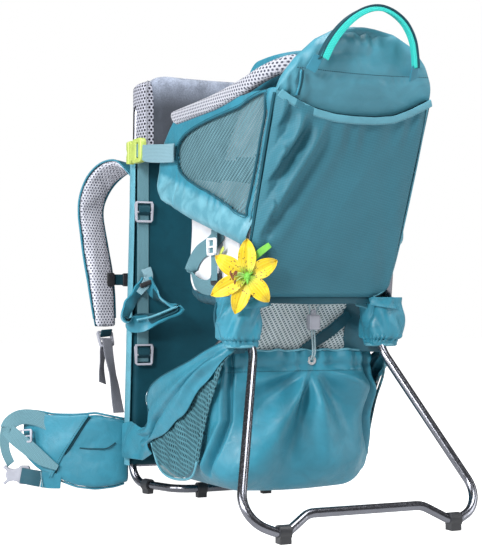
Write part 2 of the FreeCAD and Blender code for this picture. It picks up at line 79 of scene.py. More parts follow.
class Shader:
    """A small wrapper for building a material's node tree."""

    def __init__(self, name):
        self.material = bpy.data.materials.new(name)
        self.material.use_nodes = True
        self.tree = self.material.node_tree
        self.tree.nodes.clear()
        self.out = self.tree.nodes.new("ShaderNodeOutputMaterial")
        self.bsdf = self.tree.nodes.new("ShaderNodeBsdfPrincipled")
        self.link(self.bsdf.outputs[0], self.out.inputs[0])

    def link(self, a, b):
        self.tree.links.new(a, b)

    def put(self, socket, value):
        if isinstance(value, bpy.types.NodeSocket):
            self.link(value, socket)
        elif value is not None:
            socket.default_value = value

    def node(self, kind, inputs=(), **settings):
        made = self.tree.nodes.new(kind)
        for key, value in settings.items():
            setattr(made, key, value)
        for key, value in dict(inputs).items():
            self.put(made.inputs[key], value)
        return made

    def math(self, op, a, b=None):
        made = self.node("ShaderNodeMath", operation=op)
        for k, value in enumerate((a, b)):
            if value is not None:
                self.put(made.inputs[k], value)
        return made.outputs[0]

    def vec(self, op, a, b=None):
        made = self.node("ShaderNodeVectorMath", operation=op)
        self.put(made.inputs[0], a)
        if op == "SCALE":
            self.put(made.inputs["Scale"], b)
        elif b is not None:
            self.put(made.inputs[1], b)
        return made.outputs["Value"] if op in ("LENGTH", "DOT_PRODUCT", "DISTANCE") else made.outputs[0]

    def coords(self):
        return self.node("ShaderNodeTexCoord").outputs["Object"]

    def uv(self):
        return self.node("ShaderNodeTexCoord").outputs["UV"]

    def noise(self, scale, detail=3.0, rough=0.5, distort=0.0):
        made = self.node("ShaderNodeTexNoise")
        made.inputs["Scale"].default_value = scale
        made.inputs["Detail"].default_value = detail
        made.inputs["Roughness"].default_value = rough
        made.inputs["Distortion"].default_value = distort
        self.link(self.coords(), made.inputs["Vector"])
        return made.outputs["Fac"]

    def ramp(self, value, low, high, a=0.0, b=1.0, smooth=True):
        made = self.node("ShaderNodeMapRange", interpolation_type="SMOOTHSTEP" if smooth else "LINEAR")
        for key, v in zip(("Value", "From Min", "From Max", "To Min", "To Max"), (value, low, high, a, b)):
            self.put(made.inputs[key], v)
        return made.outputs[0]

    def mix(self, factor, a, b):
        made = self.node("ShaderNodeMix", data_type="RGBA")
        self.put(made.inputs[0], factor)
        self.put(made.inputs[6], a)
        self.put(made.inputs[7], b)
        return made.outputs[2]

    def bump(self, height, distance, strength=1.0, normal=None):
        made = self.node("ShaderNodeBump")
        made.inputs["Strength"].default_value = strength
        made.inputs["Distance"].default_value = distance
        self.link(height, made.inputs["Height"])
        if normal is not None:
            self.link(normal, made.inputs["Normal"])
        return made.outputs[0]

    def facing_planes(self):
        """Three flat coordinates, one across each row axis, and how much each axis faces the surface."""
        point = self.node("ShaderNodeSeparateXYZ", {0: self.coords()})
        normal = self.node("ShaderNodeTexCoord").outputs["Normal"]
        facing = self.node("ShaderNodeSeparateXYZ", {0: self.vec("ABSOLUTE", normal)})
        x, y, z = point.outputs
        planes = []
        for a, b, axis in ((y, z, 0), (x, z, 1), (x, y, 2)):
            flat = self.node("ShaderNodeCombineXYZ", {0: a, 1: b})
            weight = self.math("POWER", facing.outputs[axis], FACING_SHARPNESS)
            planes.append((flat.outputs[0], weight))
        return planes

    def by_plane(self, pattern):
        """A pattern of flat coordinates laid on whichever row axis the surface faces."""
        total = weights = None
        for flat, weight in self.facing_planes():
            part = self.math("MULTIPLY", pattern(flat), weight)
            total = part if total is None else self.math("ADD", total, part)
            weights = weight if weights is None else self.math("ADD", weights, weight)
        return self.math("DIVIDE", total, weights)

    def dots(self, flat, pitch, radius):
        """Round dots in a staggered grid: 1 in a dot and 0 between."""
        scaled = self.vec("MULTIPLY", flat, (1 / pitch, DOT_ROWS / pitch, 0))
        best = None
        for shift in ((0.5, 0.5, 0), (0.0, 0.0, 0)):
            cell = self.vec("FRACTION", self.vec("ADD", scaled, shift))
            offset = self.vec("MULTIPLY", self.vec("SUBTRACT", cell, (0.5, 0.5, 0)), (1.0, 1 / DOT_ROWS, 1.0))
            reach = self.vec("LENGTH", offset)
            best = reach if best is None else self.math("MINIMUM", best, reach)
        edge = radius / pitch
        return self.ramp(best, edge * (1 + DOT_SOFTNESS), edge * (1 - DOT_SOFTNESS))

    def stripes(self, flat, direction, pitch):
        """Stripes across a direction, from 0 to 1 and back within each pitch."""
        along = self.vec("DOT_PRODUCT", flat, direction)
        wave = self.math("SINE", self.math("MULTIPLY", along, 2 * math.pi / pitch))
        return self.ramp(wave, -1.0, 1.0, smooth=False)


def finish_shader(s, colour, rough, normal=None, sheen=0.0, spec=0.4, metal=0.0, coat=0.0):
    s.put(s.bsdf.inputs["Base Color"], colour)
    s.put(s.bsdf.inputs["Roughness"], rough)
    s.bsdf.inputs["Specular IOR Level"].default_value = spec
    s.bsdf.inputs["Metallic"].default_value = metal
    s.bsdf.inputs["Sheen Weight"].default_value = sheen
    s.bsdf.inputs["Sheen Roughness"].default_value = 0.5
    s.bsdf.inputs["Coat Weight"].default_value = coat
    s.bsdf.inputs["Coat Roughness"].default_value = 0.15
    if normal is not None:
        s.put(s.bsdf.inputs["Normal"], normal)
    return s.material


def shade(colour, factor):
    """A colour made darker or lighter."""
    return tuple(min(1.0, c * factor) for c in colour[:3]) + (1.0,)


# ---------------------------------------------------------------- materials

TEAL = (0.022, 0.172, 0.245, 1)
THREAD_PITCH = 0.0009
# painted light on the cockpit wall: its colour turns paler below a line that rises to the front
BAND_LEAN = 0.298
BAND_TOP, BAND_FULL = 0.507, 0.494


def nylon(name, colour, rough=0.40, crumple=1.0, sheen=0.03, painted_lower_light=None, spec=0.36):
    """Coated nylon: a fine plain weave, soft crumples and slightly uneven dye, with painted light that makes it paler
    below a leaning level if asked.
    """
    s = Shader(name)
    blotch = s.noise(9.0, 4.0, 0.6)
    folds = s.noise(42.0, 3.0, 0.55, distort=0.6)
    threads = s.by_plane(lambda flat: s.math(
        "MAXIMUM", s.stripes(flat, (1, 0, 0), THREAD_PITCH), s.stripes(flat, (0, 1, 0), THREAD_PITCH)))
    tone = s.mix(s.ramp(blotch, 0.3, 0.7), shade(colour, 0.86), shade(colour, 1.14))
    # painted light: paler colour below a leaning line, standing in for light falling on the lower band
    if painted_lower_light is not None:
        place = s.node("ShaderNodeSeparateXYZ", {0: s.coords()})
        level = s.math("SUBTRACT", place.outputs[2], s.math("MULTIPLY", place.outputs[1], BAND_LEAN))
        level = s.math("ADD", level, s.math("MULTIPLY", folds, 0.006))
        tone = s.mix(s.ramp(level, BAND_TOP, BAND_FULL), tone, painted_lower_light)
    tone = s.mix(s.ramp(folds, 0.35, 0.68, 0.0, 0.5), tone, shade(colour, 0.72))
    tone = s.mix(s.math("MULTIPLY", threads, 0.16), tone, shade(colour, 1.5))
    height = s.bump(folds, 0.0022 * crumple, 0.55)
    height = s.bump(threads, 0.00012, 0.5, height)
    gloss = s.ramp(s.noise(70.0, 2.0), 0.3, 0.7, rough - 0.06, rough + 0.08)
    return finish_shader(s, tone, gloss, height, sheen=sheen, spec=spec)


def pocket_cloth(name, colour):
    """A matt plain-weave cloth whose threads show as fine lines."""
    s = Shader(name)
    lines = s.by_plane(lambda flat: s.stripes(flat, (0.2, 1, 0), 0.0034))
    cross = s.by_plane(lambda flat: s.stripes(flat, (1, -0.15, 0), 0.0041))
    blotch = s.noise(7.0, 4.0, 0.6)
    tone = s.mix(s.ramp(blotch, 0.3, 0.72), shade(colour, 0.9), shade(colour, 1.1))
    tone = s.mix(s.math("MULTIPLY", lines, 0.42), tone, shade(colour, 1.35))
    tone = s.mix(s.math("MULTIPLY", cross, 0.2), tone, shade(colour, 0.75))
    height = s.bump(s.noise(36.0, 2.0), 0.0014, 0.4)
    height = s.bump(lines, 0.0002, 0.5, height)
    return finish_shader(s, tone, 0.5, height, sheen=0.03, spec=0.2)


def spacer_mesh(name, colour, hole, pitch, radius):
    """3-D spacer mesh: a pale knit over rows of small dark holes."""
    s = Shader(name)
    holes = s.by_plane(lambda flat: s.dots(flat, pitch, radius))
    knit = s.noise(900.0, 2.0)
    tone = s.mix(s.ramp(s.noise(14.0), 0.3, 0.7), shade(colour, 0.93), shade(colour, 1.05))
    tone = s.mix(s.ramp(knit, 0.3, 0.7, 0.0, 0.25), tone, shade(colour, 0.75))
    tone = s.mix(holes, tone, hole)
    height = s.bump(s.math("SUBTRACT", 1.0, holes), 0.0012, 0.8)
    return finish_shader(s, tone, 0.75, height, sheen=0.1, spec=0.15)


def net(name, colour, hole, pitch, slant, clear=None):
    """Fine netting: slanted threads with small gaps, see-through where clear is given."""
    s = Shader(name)
    across = (math.cos(slant), math.sin(slant), 0)
    along = (-math.sin(slant), math.cos(slant), 0)
    rows = s.by_plane(lambda flat: s.stripes(flat, across, pitch))
    cells = s.by_plane(lambda flat: s.stripes(flat, along, pitch * 1.9))
    gaps = s.math("MULTIPLY", s.ramp(rows, 0.42, 0.66), s.ramp(cells, 0.2, 0.5))
    tone = s.mix(s.ramp(s.noise(30.0), 0.3, 0.7), shade(colour, 0.9), shade(colour, 1.08))
    tone = s.mix(gaps, tone, hole)
    if clear is not None:
        s.put(s.bsdf.inputs["Alpha"], s.ramp(gaps, 0.2, 0.8, 1.0, clear))
    return finish_shader(s, tone, 0.6, s.bump(rows, 0.0003, 0.6), sheen=0.0, spec=0.15)


def webbing(name, colour, rough=0.55):
    """Woven webbing: fine ribs along it and a coarser cross weave, from its own length and width."""
    s = Shader(name)
    flat = s.uv()
    ribs = s.stripes(flat, (0, 1, 0), 0.0022)
    picks = s.stripes(flat, (1, 0.5, 0), 0.0026)
    weave = s.math("MULTIPLY", ribs, picks)
    tone = s.mix(s.ramp(weave, 0.1, 0.7), shade(colour, 0.72), shade(colour, 1.2))
    tone = s.mix(s.ramp(s.noise(60.0), 0.35, 0.65, 0.0, 0.3), tone, shade(colour, 0.85))
    return finish_shader(s, tone, rough, s.bump(weave, 0.0004, 0.7), sheen=0.03, spec=0.16)


def fleece(name, colour):
    """Short brushed fleece with soft clumps in the pile, and painted light that makes it paler along its upper edge."""
    s = Shader(name)
    pile = s.noise(420.0, 4.0, 0.7)
    clumps = s.noise(34.0, 4.0, 0.6, distort=0.8)
    height = s.node("ShaderNodeSeparateXYZ", {0: s.coords()}).outputs[2]
    level = s.math("ADD", height, s.math("MULTIPLY", clumps, 0.03))
    # painted light: the colour grows much paler towards the top edge, where light falls on the pad
    base = s.mix(s.ramp(level, 0.648, 0.715), colour, shade(colour, 8.0))
    tone = s.mix(s.ramp(clumps, 0.3, 0.7, 0.0, 0.55), base, shade(colour, 0.55))
    tone = s.mix(s.ramp(pile, 0.3, 0.7, 0.0, 0.4), tone, shade(colour, 0.7))
    bump = s.bump(pile, 0.0012, 0.7)
    bump = s.bump(clumps, 0.003, 0.5, bump)
    return finish_shader(s, tone, 0.95, bump, sheen=0.25, spec=0.05)


PLASTIC_GRAIN = 0.25


def plastic(name, colour, rough=0.38):
    """Moulded plastic with a faint spark-eroded grain and rubbed edges."""
    s = Shader(name)
    fine = s.noise(1400.0, 2.0)
    edge = s.node("ShaderNodeNewGeometry").outputs["Pointiness"]
    tone = s.mix(s.ramp(s.noise(60.0), 0.3, 0.7), shade(colour, 0.92), shade(colour, 1.06))
    tone = s.mix(s.ramp(edge, 0.53, 0.6, 0.0, 0.6), tone, shade(colour, 1.35))
    gloss = s.ramp(s.noise(180.0), 0.3, 0.7, rough - 0.05, rough + 0.08)
    return finish_shader(s, tone, gloss, s.bump(fine, 0.0001, PLASTIC_GRAIN), spec=0.5)


def metal(name, colour, rough, coat=0.0, brushed=False):
    """Anodised or plated metal with fine handling marks."""
    s = Shader(name)
    marks = s.noise(240.0, 3.0, 0.7)
    tone = s.mix(s.ramp(s.noise(22.0), 0.3, 0.7), shade(colour, 0.92), shade(colour, 1.08))
    gloss = s.ramp(marks, 0.3, 0.75, rough - 0.04, rough + 0.09)
    height = s.bump(marks, 0.00004 if not brushed else 0.0001, 0.4)
    return finish_shader(s, tone, gloss, height, metal=1.0, coat=coat)


def petal_cloth():
    """Yellow satin that greens towards the throat, with small dark freckles and faint ribs."""
    s = Shader("petal_yellow")
    place = s.node("ShaderNodeSeparateXYZ", {0: s.uv()})
    outward, across = place.outputs[0], place.outputs[1]
    tone = s.mix(s.ramp(outward, 0.1, 0.55), (0.60, 0.49, 0.03, 1), (0.62, 0.43, 0.002, 1))
    tone = s.mix(s.ramp(outward, 0.28, 0.05), tone, (0.16, 0.32, 0.02, 1))
    ribs = s.math("SINE", s.math("MULTIPLY", across, 38.0))
    tone = s.mix(s.ramp(ribs, 0.2, 1.0, 0.0, 0.22), tone, (0.88, 0.70, 0.10, 1))
    cells = s.node("ShaderNodeTexVoronoi", {"Scale": 240.0, "Vector": s.coords()})
    freckle = s.math("MULTIPLY", s.ramp(cells.outputs["Distance"], 0.26, 0.18), s.ramp(outward, 0.75, 0.45))
    tone = s.mix(freckle, tone, (0.12, 0.05, 0.02, 1))
    return finish_shader(s, tone, 0.5, s.bump(ribs, 0.0003, 0.4), sheen=0.2, spec=0.4)


MAT = {
    "teal": nylon("teal_nylon", TEAL),
    "teal_light": nylon("teal_nylon_light", (0.085, 0.27, 0.345, 1), rough=0.44),
    "teal_dark": nylon("teal_nylon_dark", (0.007, 0.062, 0.090, 1), rough=0.45),
    "teal_cover": nylon("teal_nylon_cover", (0.052, 0.215, 0.285, 1)),
    # the wall's paler lower band is painted light
    "teal_wall": nylon("teal_nylon_wall", TEAL, painted_lower_light=(0.13, 0.32, 0.39, 1)),
    "panel": nylon("panel_nylon", (0.004, 0.043, 0.063, 1), rough=0.6, crumple=0.4, sheen=0.0, spec=0.1),
    "pocket": pocket_cloth("pocket_cloth", (0.030, 0.130, 0.175, 1)),
    "mesh": spacer_mesh("spacer_mesh", (0.38, 0.39, 0.46, 1), (0.008, 0.009, 0.016, 1), 0.0066, 0.0020),
    "mesh_rim": spacer_mesh("spacer_mesh_rim", (0.40, 0.41, 0.46, 1), (0.045, 0.05, 0.075, 1), 0.0058, 0.0016),
    "mesh_strap": spacer_mesh("spacer_mesh_strap", (0.60, 0.61, 0.68, 1), (0.09, 0.095, 0.13, 1), 0.0058, 0.0014),
    "net": net("window_net", (0.10, 0.20, 0.235, 1), (0.004, 0.02, 0.03, 1), 0.0034, -0.62, 0.34),
    "net_rear": net("rear_net", (0.62, 0.70, 0.72, 1), (0.012, 0.07, 0.095, 1), 0.0034, 2.05),
    "net_pocket": net("pocket_net", (0.055, 0.155, 0.19, 1), (0.003, 0.016, 0.024, 1), 0.0038, 0.25, 0.75),
    "web": webbing("webbing_teal", (0.11, 0.235, 0.28, 1)),
    "web_dark": webbing("webbing_dark", (0.008, 0.055, 0.078, 1)),
    "web_grey": webbing("webbing_grey", (0.25, 0.26, 0.30, 1)),
    "web_bright": webbing("webbing_turquoise", (0.035, 0.52, 0.47, 1), 0.45),
    "binding": webbing("edge_binding", (0.012, 0.085, 0.12, 1)),
    "fleece": fleece("grey_fleece", (0.048, 0.055, 0.070, 1)),
    "lining": nylon("pale_lining", (0.62, 0.64, 0.68, 1), rough=0.7, crumple=1.3, sheen=0.1),
    "black": plastic("black_plastic", (0.018, 0.019, 0.022, 1)),
    "grey": plastic("grey_plastic", (0.30, 0.31, 0.36, 1)),
    "white": plastic("pale_plastic", (0.72, 0.74, 0.78, 1)),
    "lime": plastic("lime_plastic", (0.36, 0.45, 0.10, 1), 0.42),
    "tube": metal("dark_tube", (0.16, 0.165, 0.19, 1), 0.22, coat=0.45),
    "steel": metal("plated_steel", (0.75, 0.76, 0.78, 1), 0.25, brushed=True),
    "cord": webbing("cord_sleeve", (0.30, 0.42, 0.46, 1)),
    "petal": petal_cloth(),
    "lining_dark": nylon("grey_lining", (0.010, 0.050, 0.068, 1), rough=0.7, crumple=1.3),
    "lime_tape": webbing("lime_tape", (0.50, 0.58, 0.12, 1)),
    "harness": nylon("harness_cloth", (0.30, 0.33, 0.38, 1), rough=0.7, crumple=0.5),
    "web_pale": webbing("webbing_pale", (0.19, 0.33, 0.39, 1)),
    "stay": metal("stay_metal", (0.62, 0.63, 0.65, 1), 0.35, brushed=True),
    "stem_pale": nylon("stamen_green", (0.45, 0.66, 0.20, 1), rough=0.5, crumple=0.2),
    "stem": nylon("stem_green", (0.16, 0.48, 0.06, 1), rough=0.5, crumple=0.3),
    "anther": plastic("anther_brown", (0.16, 0.05, 0.015, 1), 0.8),
}


# ---------------------------------------------------------------- mesh helpers, all in millimetres

def add_object(name, verts, faces, mats, body=FRAME, uvs=None, face_mats=None, nodes=()):
    """A mesh piece drawn in millimetres, riding on a body and standing for the CAD nodes given."""
    mesh = bpy.data.meshes.new(name)
    mesh.from_pydata([tuple(v) for v in np.asarray(verts, float) * MM], [], [tuple(map(int, f)) for f in faces])
    mats = [mats] if isinstance(mats, str) else list(mats)
    for m in mats:
        mesh.materials.append(MAT[m])
    if face_mats is not None:
        mesh.polygons.foreach_set("material_index", [int(k) for k in face_mats])
    if uvs is not None:
        layer = mesh.uv_layers.new(name="UVMap")
        spread = np.asarray(uvs, float) * MM
        layer.data.foreach_set("uv", spread[[loop.vertex_index for loop in mesh.loops]].ravel())
    mesh.polygons.foreach_set("use_smooth", [True] * len(mesh.polygons))
    mesh.update()
    obj = bpy.data.objects.new(name, mesh)
    bpy.context.scene.collection.objects.link(obj)
    settle(obj, body, nodes)
    return obj


def settle(obj, body, nodes):
    """Puts a piece on its body and in place of its CAD nodes."""
    if body is not None:
        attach(obj, body)
    if nodes:
        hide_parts(*nodes)
    return obj


def modify(obj, kind, **settings):
    """Adds a modifier and sets it up."""
    made = obj.modifiers.new(kind.lower(), kind)
    for key, value in settings.items():
        setattr(made, key, value)
    return made


def apply_modifiers(obj):
    """Bakes a piece's modifiers into its mesh."""
    bpy.context.view_layer.update()
    graph = bpy.context.evaluated_depsgraph_get()
    mesh = bpy.data.meshes.new_from_object(obj.evaluated_get(graph), depsgraph=graph)
    obj.modifiers.clear()
    old = obj.data
    obj.data = mesh
    bpy.data.meshes.remove(old)


def edit_mesh(obj, change):
    """Runs a change on a piece's mesh opened for editing."""
    bm = bmesh.new()
    bm.from_mesh(obj.data)
    change(bm)
    bm.to_mesh(obj.data)
    bm.free()


def turn_faces_out(bm):
    bmesh.ops.recalc_face_normals(bm, faces=bm.faces)


def weld(bm):
    bmesh.ops.remove_doubles(bm, verts=bm.verts, dist=1e-6)
    turn_faces_out(bm)


def drop_faces(obj, gone):
    """Deletes the faces that the grid of flags marks."""
    def change(bm):
        bm.faces.ensure_lookup_table()
        bmesh.ops.delete(bm, geom=[bm.faces[k] for k in np.nonzero(gone.ravel())[0]], context="FACES")

    edit_mesh(obj, change)


def subdivide(obj):
    modify(obj, "SUBSURF", levels=1, render_levels=1)


def blend_over(obj):
    """Bakes a finished piece's modifiers and frees it from its body, fixed where it stands."""
    apply_modifiers(obj)
    obj.parent = None
    if "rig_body" in obj:
        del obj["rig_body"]
    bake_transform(obj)


def once(sign, *nodes):
    """The nodes that a pair of pieces stands for together: the right-hand piece carries them."""
    return nodes if sign > 0 else ()


def grid_faces(rows, columns, wrap_u=False, wrap_v=False, base=0, flip=False):
    """Quads of a grid of points."""
    i, j = np.meshgrid(np.arange(rows if wrap_u else rows - 1), np.arange(columns if wrap_v else columns - 1),
                       indexing="ij")
    a = i * columns + j
    b = i * columns + (j + 1) % columns
    c = ((i + 1) % rows) * columns + (j + 1) % columns
    d = ((i + 1) % rows) * columns + j
    order = (a, d, c, b) if flip else (a, b, c, d)
    return (np.stack([k.ravel() for k in order], 1) + base).tolist()


def uv_grid(rows, columns):
    """Two grids from 0 to 1, one along the rows and one along the columns."""
    return np.meshgrid(np.linspace(0, 1, rows), np.linspace(0, 1, columns), indexing="ij")


def stack(x, y, z):
    """A grid of points from grids of coordinates."""
    return np.stack(np.broadcast_arrays(x, y, z), -1).astype(float)


def normals(points):
    """Unit normals of a grid of points."""
    n = np.cross(np.gradient(points, axis=0), np.gradient(points, axis=1))
    return n / np.maximum(np.linalg.norm(n, axis=-1, keepdims=True), 1e-9)


def arc_lengths(points):
    """Distance along each column and along each row of a grid of points."""
    down = np.linalg.norm(np.diff(points, axis=0), axis=-1)
    over = np.linalg.norm(np.diff(points, axis=1), axis=-1)
    return (np.concatenate([np.zeros((1, points.shape[1])), np.cumsum(down, 0)], 0),
            np.concatenate([np.zeros((points.shape[0], 1)), np.cumsum(over, 1)], 1))


def cloth(name, points, mat, body=FRAME, thick=0, nodes=(), soften=True, face_mats=None):
    """A cloth panel over a grid of points, with its own thickness unless that is added later."""
    down, over = arc_lengths(points)
    rows, columns = points.shape[:2]
    uvs = np.stack([down.ravel(), over.ravel()], 1)
    obj = add_object(name, points.reshape(-1, 3), grid_faces(rows, columns), mat, body, uvs, face_mats, nodes=nodes)
    if thick:
        modify(obj, "SOLIDIFY", thickness=thick * MM, offset=0.0)
    if soften:
        subdivide(obj)
    return obj


def pillow(name, middle, out, back, edge, mat, body=FRAME, nodes=()):
    """A closed pad: a middle surface swollen by out on its face and back behind, round at its edges."""
    n = normals(middle)
    down, over = arc_lengths(middle)
    near = np.minimum(np.minimum(down, down[-1:] - down), np.minimum(over, over[:, -1:] - over))
    roll = np.sqrt(np.clip(1 - (1 - np.clip(near / edge, 0, 1)) ** 2, 0, 1))[..., None]
    out = np.broadcast_to(out, middle.shape[:2])[..., None]
    back = np.broadcast_to(back, middle.shape[:2])[..., None]
    front, rear = middle + n * out * roll, middle - n * back * roll
    rows, columns = middle.shape[:2]
    verts = np.concatenate([front.reshape(-1, 3), rear.reshape(-1, 3)])
    uvs = np.tile(np.stack([down.ravel(), over.ravel()], 1), (2, 1))
    faces = grid_faces(rows, columns) + grid_faces(rows, columns, base=rows * columns, flip=True)
    obj = add_object(name, verts, faces, mat, body, uvs, nodes=nodes)
    edit_mesh(obj, weld)
    subdivide(obj)
    return obj


def gaps(points):
    """Distances between neighbouring points of a path."""
    return np.linalg.norm(np.diff(np.array(points, float), axis=0), axis=1)


def run_along(points):
    """Distance travelled to each point of a path."""
    return np.r_[0, np.cumsum(gaps(points))]


def smooth_path(points, count, closed=False):
    """Evenly spaced points on a Catmull-Rom curve through the points given."""
    p = np.array(points, float)
    n = len(p)
    if n == 2:
        return p[0] + (p[1] - p[0]) * np.linspace(0, 1, count)[:, None]
    found = []
    for i in range(n if closed else n - 1):
        if closed:
            a, b, c, d = (p[(i + k) % n] for k in (-1, 0, 1, 2))
        else:
            a, b, c, d = p[max(i - 1, 0)], p[i], p[i + 1], p[min(i + 2, n - 1)]
        t = np.linspace(0, 1, 17)[:-1, None]
        found.append(0.5 * (2 * b + (c - a) * t + (2 * a - 5 * b + 4 * c - d) * t ** 2
                            + (3 * b - a - 3 * c + d) * t ** 3))
    found = np.concatenate(found + [p[:1] if closed else p[-1:]])
    steps = run_along(found)
    targets = np.linspace(0, steps[-1], count + 1)[:-1] if closed else np.linspace(0, steps[-1], count)
    return np.stack([np.interp(targets, steps, found[:, k]) for k in range(p.shape[1])], 1)


def unit(v):
    v = np.asarray(v, float)
    return v / np.maximum(np.linalg.norm(v, axis=-1, keepdims=True), 1e-12)


def tangents(path, closed=False):
    """Unit directions along a path."""
    return unit(np.roll(path, -1, 0) - np.roll(path, 1, 0)) if closed else unit(np.gradient(path, axis=0))


def spread_to(values, count):
    """Values given at even steps, or one value, spread along count points."""
    values = np.array(values, float)
    if values.ndim == 0:
        return np.full(count, float(values))
    keys, at = np.linspace(0, 1, len(values)), np.linspace(0, 1, count)
    if values.ndim == 1:
        return np.interp(at, keys, values)
    return np.stack([np.interp(at, keys, values[:, k]) for k in range(values.shape[1])], 1)


def frame_along(points, across, count):
    """A smooth path with its width direction, its face direction and the distance run."""
    path = smooth_path(points, count)
    along = tangents(path)
    across = np.array(across, float)
    across = spread_to(across, len(path)) if across.ndim == 2 else np.tile(across, (len(path), 1))
    across = unit(across - along * (across * along).sum(1, keepdims=True))
    steps = run_along(path)
    return path, across, np.cross(along, across), steps


BAND_PROFILE = [(-1, -.5), (-1, .5), (-.5, .5), (0, .5), (.5, .5), (1, .5), (1, -.5), (.5, -.5), (0, -.5), (-.5, -.5)]


def band(name, points, across, width, thick, mat, body=FRAME, nodes=(), crown=0.0, pitch=5.0, ripple=None):
    """A flat strap along the points; across is its width direction, and width may change along it."""
    count = max(4, int(gaps(points).sum() / pitch))
    path, across, up, steps = frame_along(points, across, count)
    half = spread_to(width, count) / 2
    verts, uvs = [], []
    for i in range(count):
        wave = ripple[0] * math.sin(steps[i] * 2 * math.pi / ripple[1]) if ripple else 0.0
        for a, b in BAND_PROFILE:
            lift = b * thick + crown * (1 - a * a) + wave * (0.4 + a)
            verts.append(path[i] + across[i] * (a * half[i]) + up[i] * lift)
            uvs.append((steps[i], a * half[i]))
    k = len(BAND_PROFILE)
    faces = grid_faces(count, k, wrap_v=True)
    faces += [tuple(range(k))[::-1], tuple(range((count - 1) * k, count * k))]
    obj = add_object(name, verts, faces, mat, body, uvs, nodes=nodes)
    modify(obj, "BEVEL", width=min(thick * 0.35, 0.6) * MM, segments=2, limit_method="ANGLE")
    subdivide(obj)
    return obj


def cord_tube(name, points, radius, mat, body=FRAME, sides=8, closed=False, squash=(1, 1), nodes=(), pitch=4.0):
    """A round or oval tube along a smooth path through the points."""
    count = max(5, int(gaps(points).sum() / pitch))
    path = smooth_path(points, count, closed)
    along = tangents(path, closed)
    up = np.array((0.0, 0.0, 1.0))
    reach = spread_to(radius, len(path))
    steps = run_along(path)
    verts, uvs = [], []
    for i in range(len(path)):
        side = unit(np.cross(along[i], up))
        up = np.cross(side, along[i])
        for k in range(sides):
            turn = 2 * math.pi * k / sides
            verts.append(path[i] + (side * math.cos(turn) * squash[0] + up * math.sin(turn) * squash[1]) * reach[i])
            uvs.append((steps[i], turn * reach[i]))
    faces = grid_faces(len(path), sides, wrap_u=closed, wrap_v=True)
    if not closed:
        faces += [tuple(range(sides))[::-1], tuple(range((len(path) - 1) * sides, len(path) * sides))]
    return add_object(name, verts, faces, mat, body, uvs, nodes=nodes)


def stitches(name, points, mat, body=FRAME, pitch=3.4, size=0.45, out=(0, -1, 0)):
    """A row of short thread stitches along a path, standing proud along out."""
    path = smooth_path(points, max(2, int(gaps(points).sum() / pitch)) * 2)
    out = unit(out)
    verts, faces = [], []
    for i in range(0, len(path) - 1, 2):
        a, b = path[i], path[i] + (path[i + 1] - path[i]) * 1.15
        side = unit(np.cross(b - a, out)) * size
        base = len(verts)
        for q, lift in ((a, 0.0), ((a + b) / 2, size * 1.3), (b, 0.0)):
            verts += [q + side, q + out * (lift + 0.12), q - side]
        for k in (0, 3):
            faces += [(base + k, base + k + 3, base + k + 4, base + k + 1),
                      (base + k + 1, base + k + 4, base + k + 5, base + k + 2),
                      (base + k + 2, base + k + 5, base + k + 3, base + k)]
        faces += [(base, base + 1, base + 2), (base + 6, base + 8, base + 7)]
    return add_object(name, verts, faces, mat, body)


def cube_mesh(low, high):
    """A box mesh between two corners."""
    bm = bmesh.new()
    bmesh.ops.create_cube(bm, size=1.0)
    low, high = np.array(low, float) * MM, np.array(high, float) * MM
    for v in bm.verts:
        v.co = Vector(low + (np.array(v.co) + 0.5) * (high - low))
    mesh = bpy.data.meshes.new("cube")
    bm.to_mesh(mesh)
    bm.free()
    return mesh


def slab(name, outline, low, high, mat, body=FRAME, bevel=1.2, axes="xz", nodes=(), holes=(), turns=(), segments=3):
    """A flat moulding: an outline in one plane pulled through a thickness, with boxes cut out and rounded edges."""
    k, m = "xyz".index(axes[0]), "xyz".index(axes[1])
    other = 3 - k - m
    verts = []
    for level in (low, high):
        for p in outline:
            q = [0.0, 0.0, 0.0]
            q[k], q[m], q[other] = p[0], p[1], level
            verts.append(q)
    n = len(outline)
    faces = [tuple(range(n)), tuple(range(2 * n - 1, n - 1, -1))]
    faces += [(i, i + n, (i + 1) % n + n, (i + 1) % n) for i in range(n)]
    obj = add_object(name, verts, faces, mat, None)
    edit_mesh(obj, turn_faces_out)
    for a, b in holes:
        cutter = bpy.data.objects.new("cutter", cube_mesh(a, b))
        bpy.context.scene.collection.objects.link(cutter)
        modify(obj, "BOOLEAN", operation="DIFFERENCE", solver="EXACT").object = cutter
        apply_modifiers(obj)
        bpy.data.objects.remove(cutter)
    modify(obj, "BEVEL", width=bevel * MM, segments=segments, limit_method="ANGLE", angle_limit=0.6)
    apply_modifiers(obj)
    for centre, axis, degrees in turns:
        centre = Vector(centre) * MM
        obj.data.transform(Matrix.Translation(centre) @ Matrix.Rotation(math.radians(degrees), 4, axis)
                           @ Matrix.Translation(-centre))
    obj.data.polygons.foreach_set("use_smooth", [True] * len(obj.data.polygons))
    obj.data.update()
    return settle(obj, body, nodes)


CORNER_STEPS = 4


def rounded(low, high, radius):
    """A rectangle's outline with round corners."""
    (x0, y0), (x1, y1) = low, high
    found = []
    for cx, cy, start in ((x1 - radius, y1 - radius, 0), (x0 + radius, y1 - radius, 90),
                          (x0 + radius, y0 + radius, 180), (x1 - radius, y0 + radius, 270)):
        for i in range(CORNER_STEPS + 1):
            turn = math.radians(start + 90 * i / CORNER_STEPS)
            found.append((cx + radius * math.cos(turn), cy + radius * math.sin(turn)))
    return found


def ridge(distance, width):
    """A bump of height 1 where distance is 0, width millimetres wide."""
    return np.exp(-(distance / width) ** 2)


def ease(a, b, x):
    """Smooth step from 0 at a to 1 at b."""
    t = np.clip((x - a) / (b - a), 0, 1)
    return t * t * (3 - 2 * t)


CREASE_WAVES = 7
CREASE_SHARPNESS = 1.6


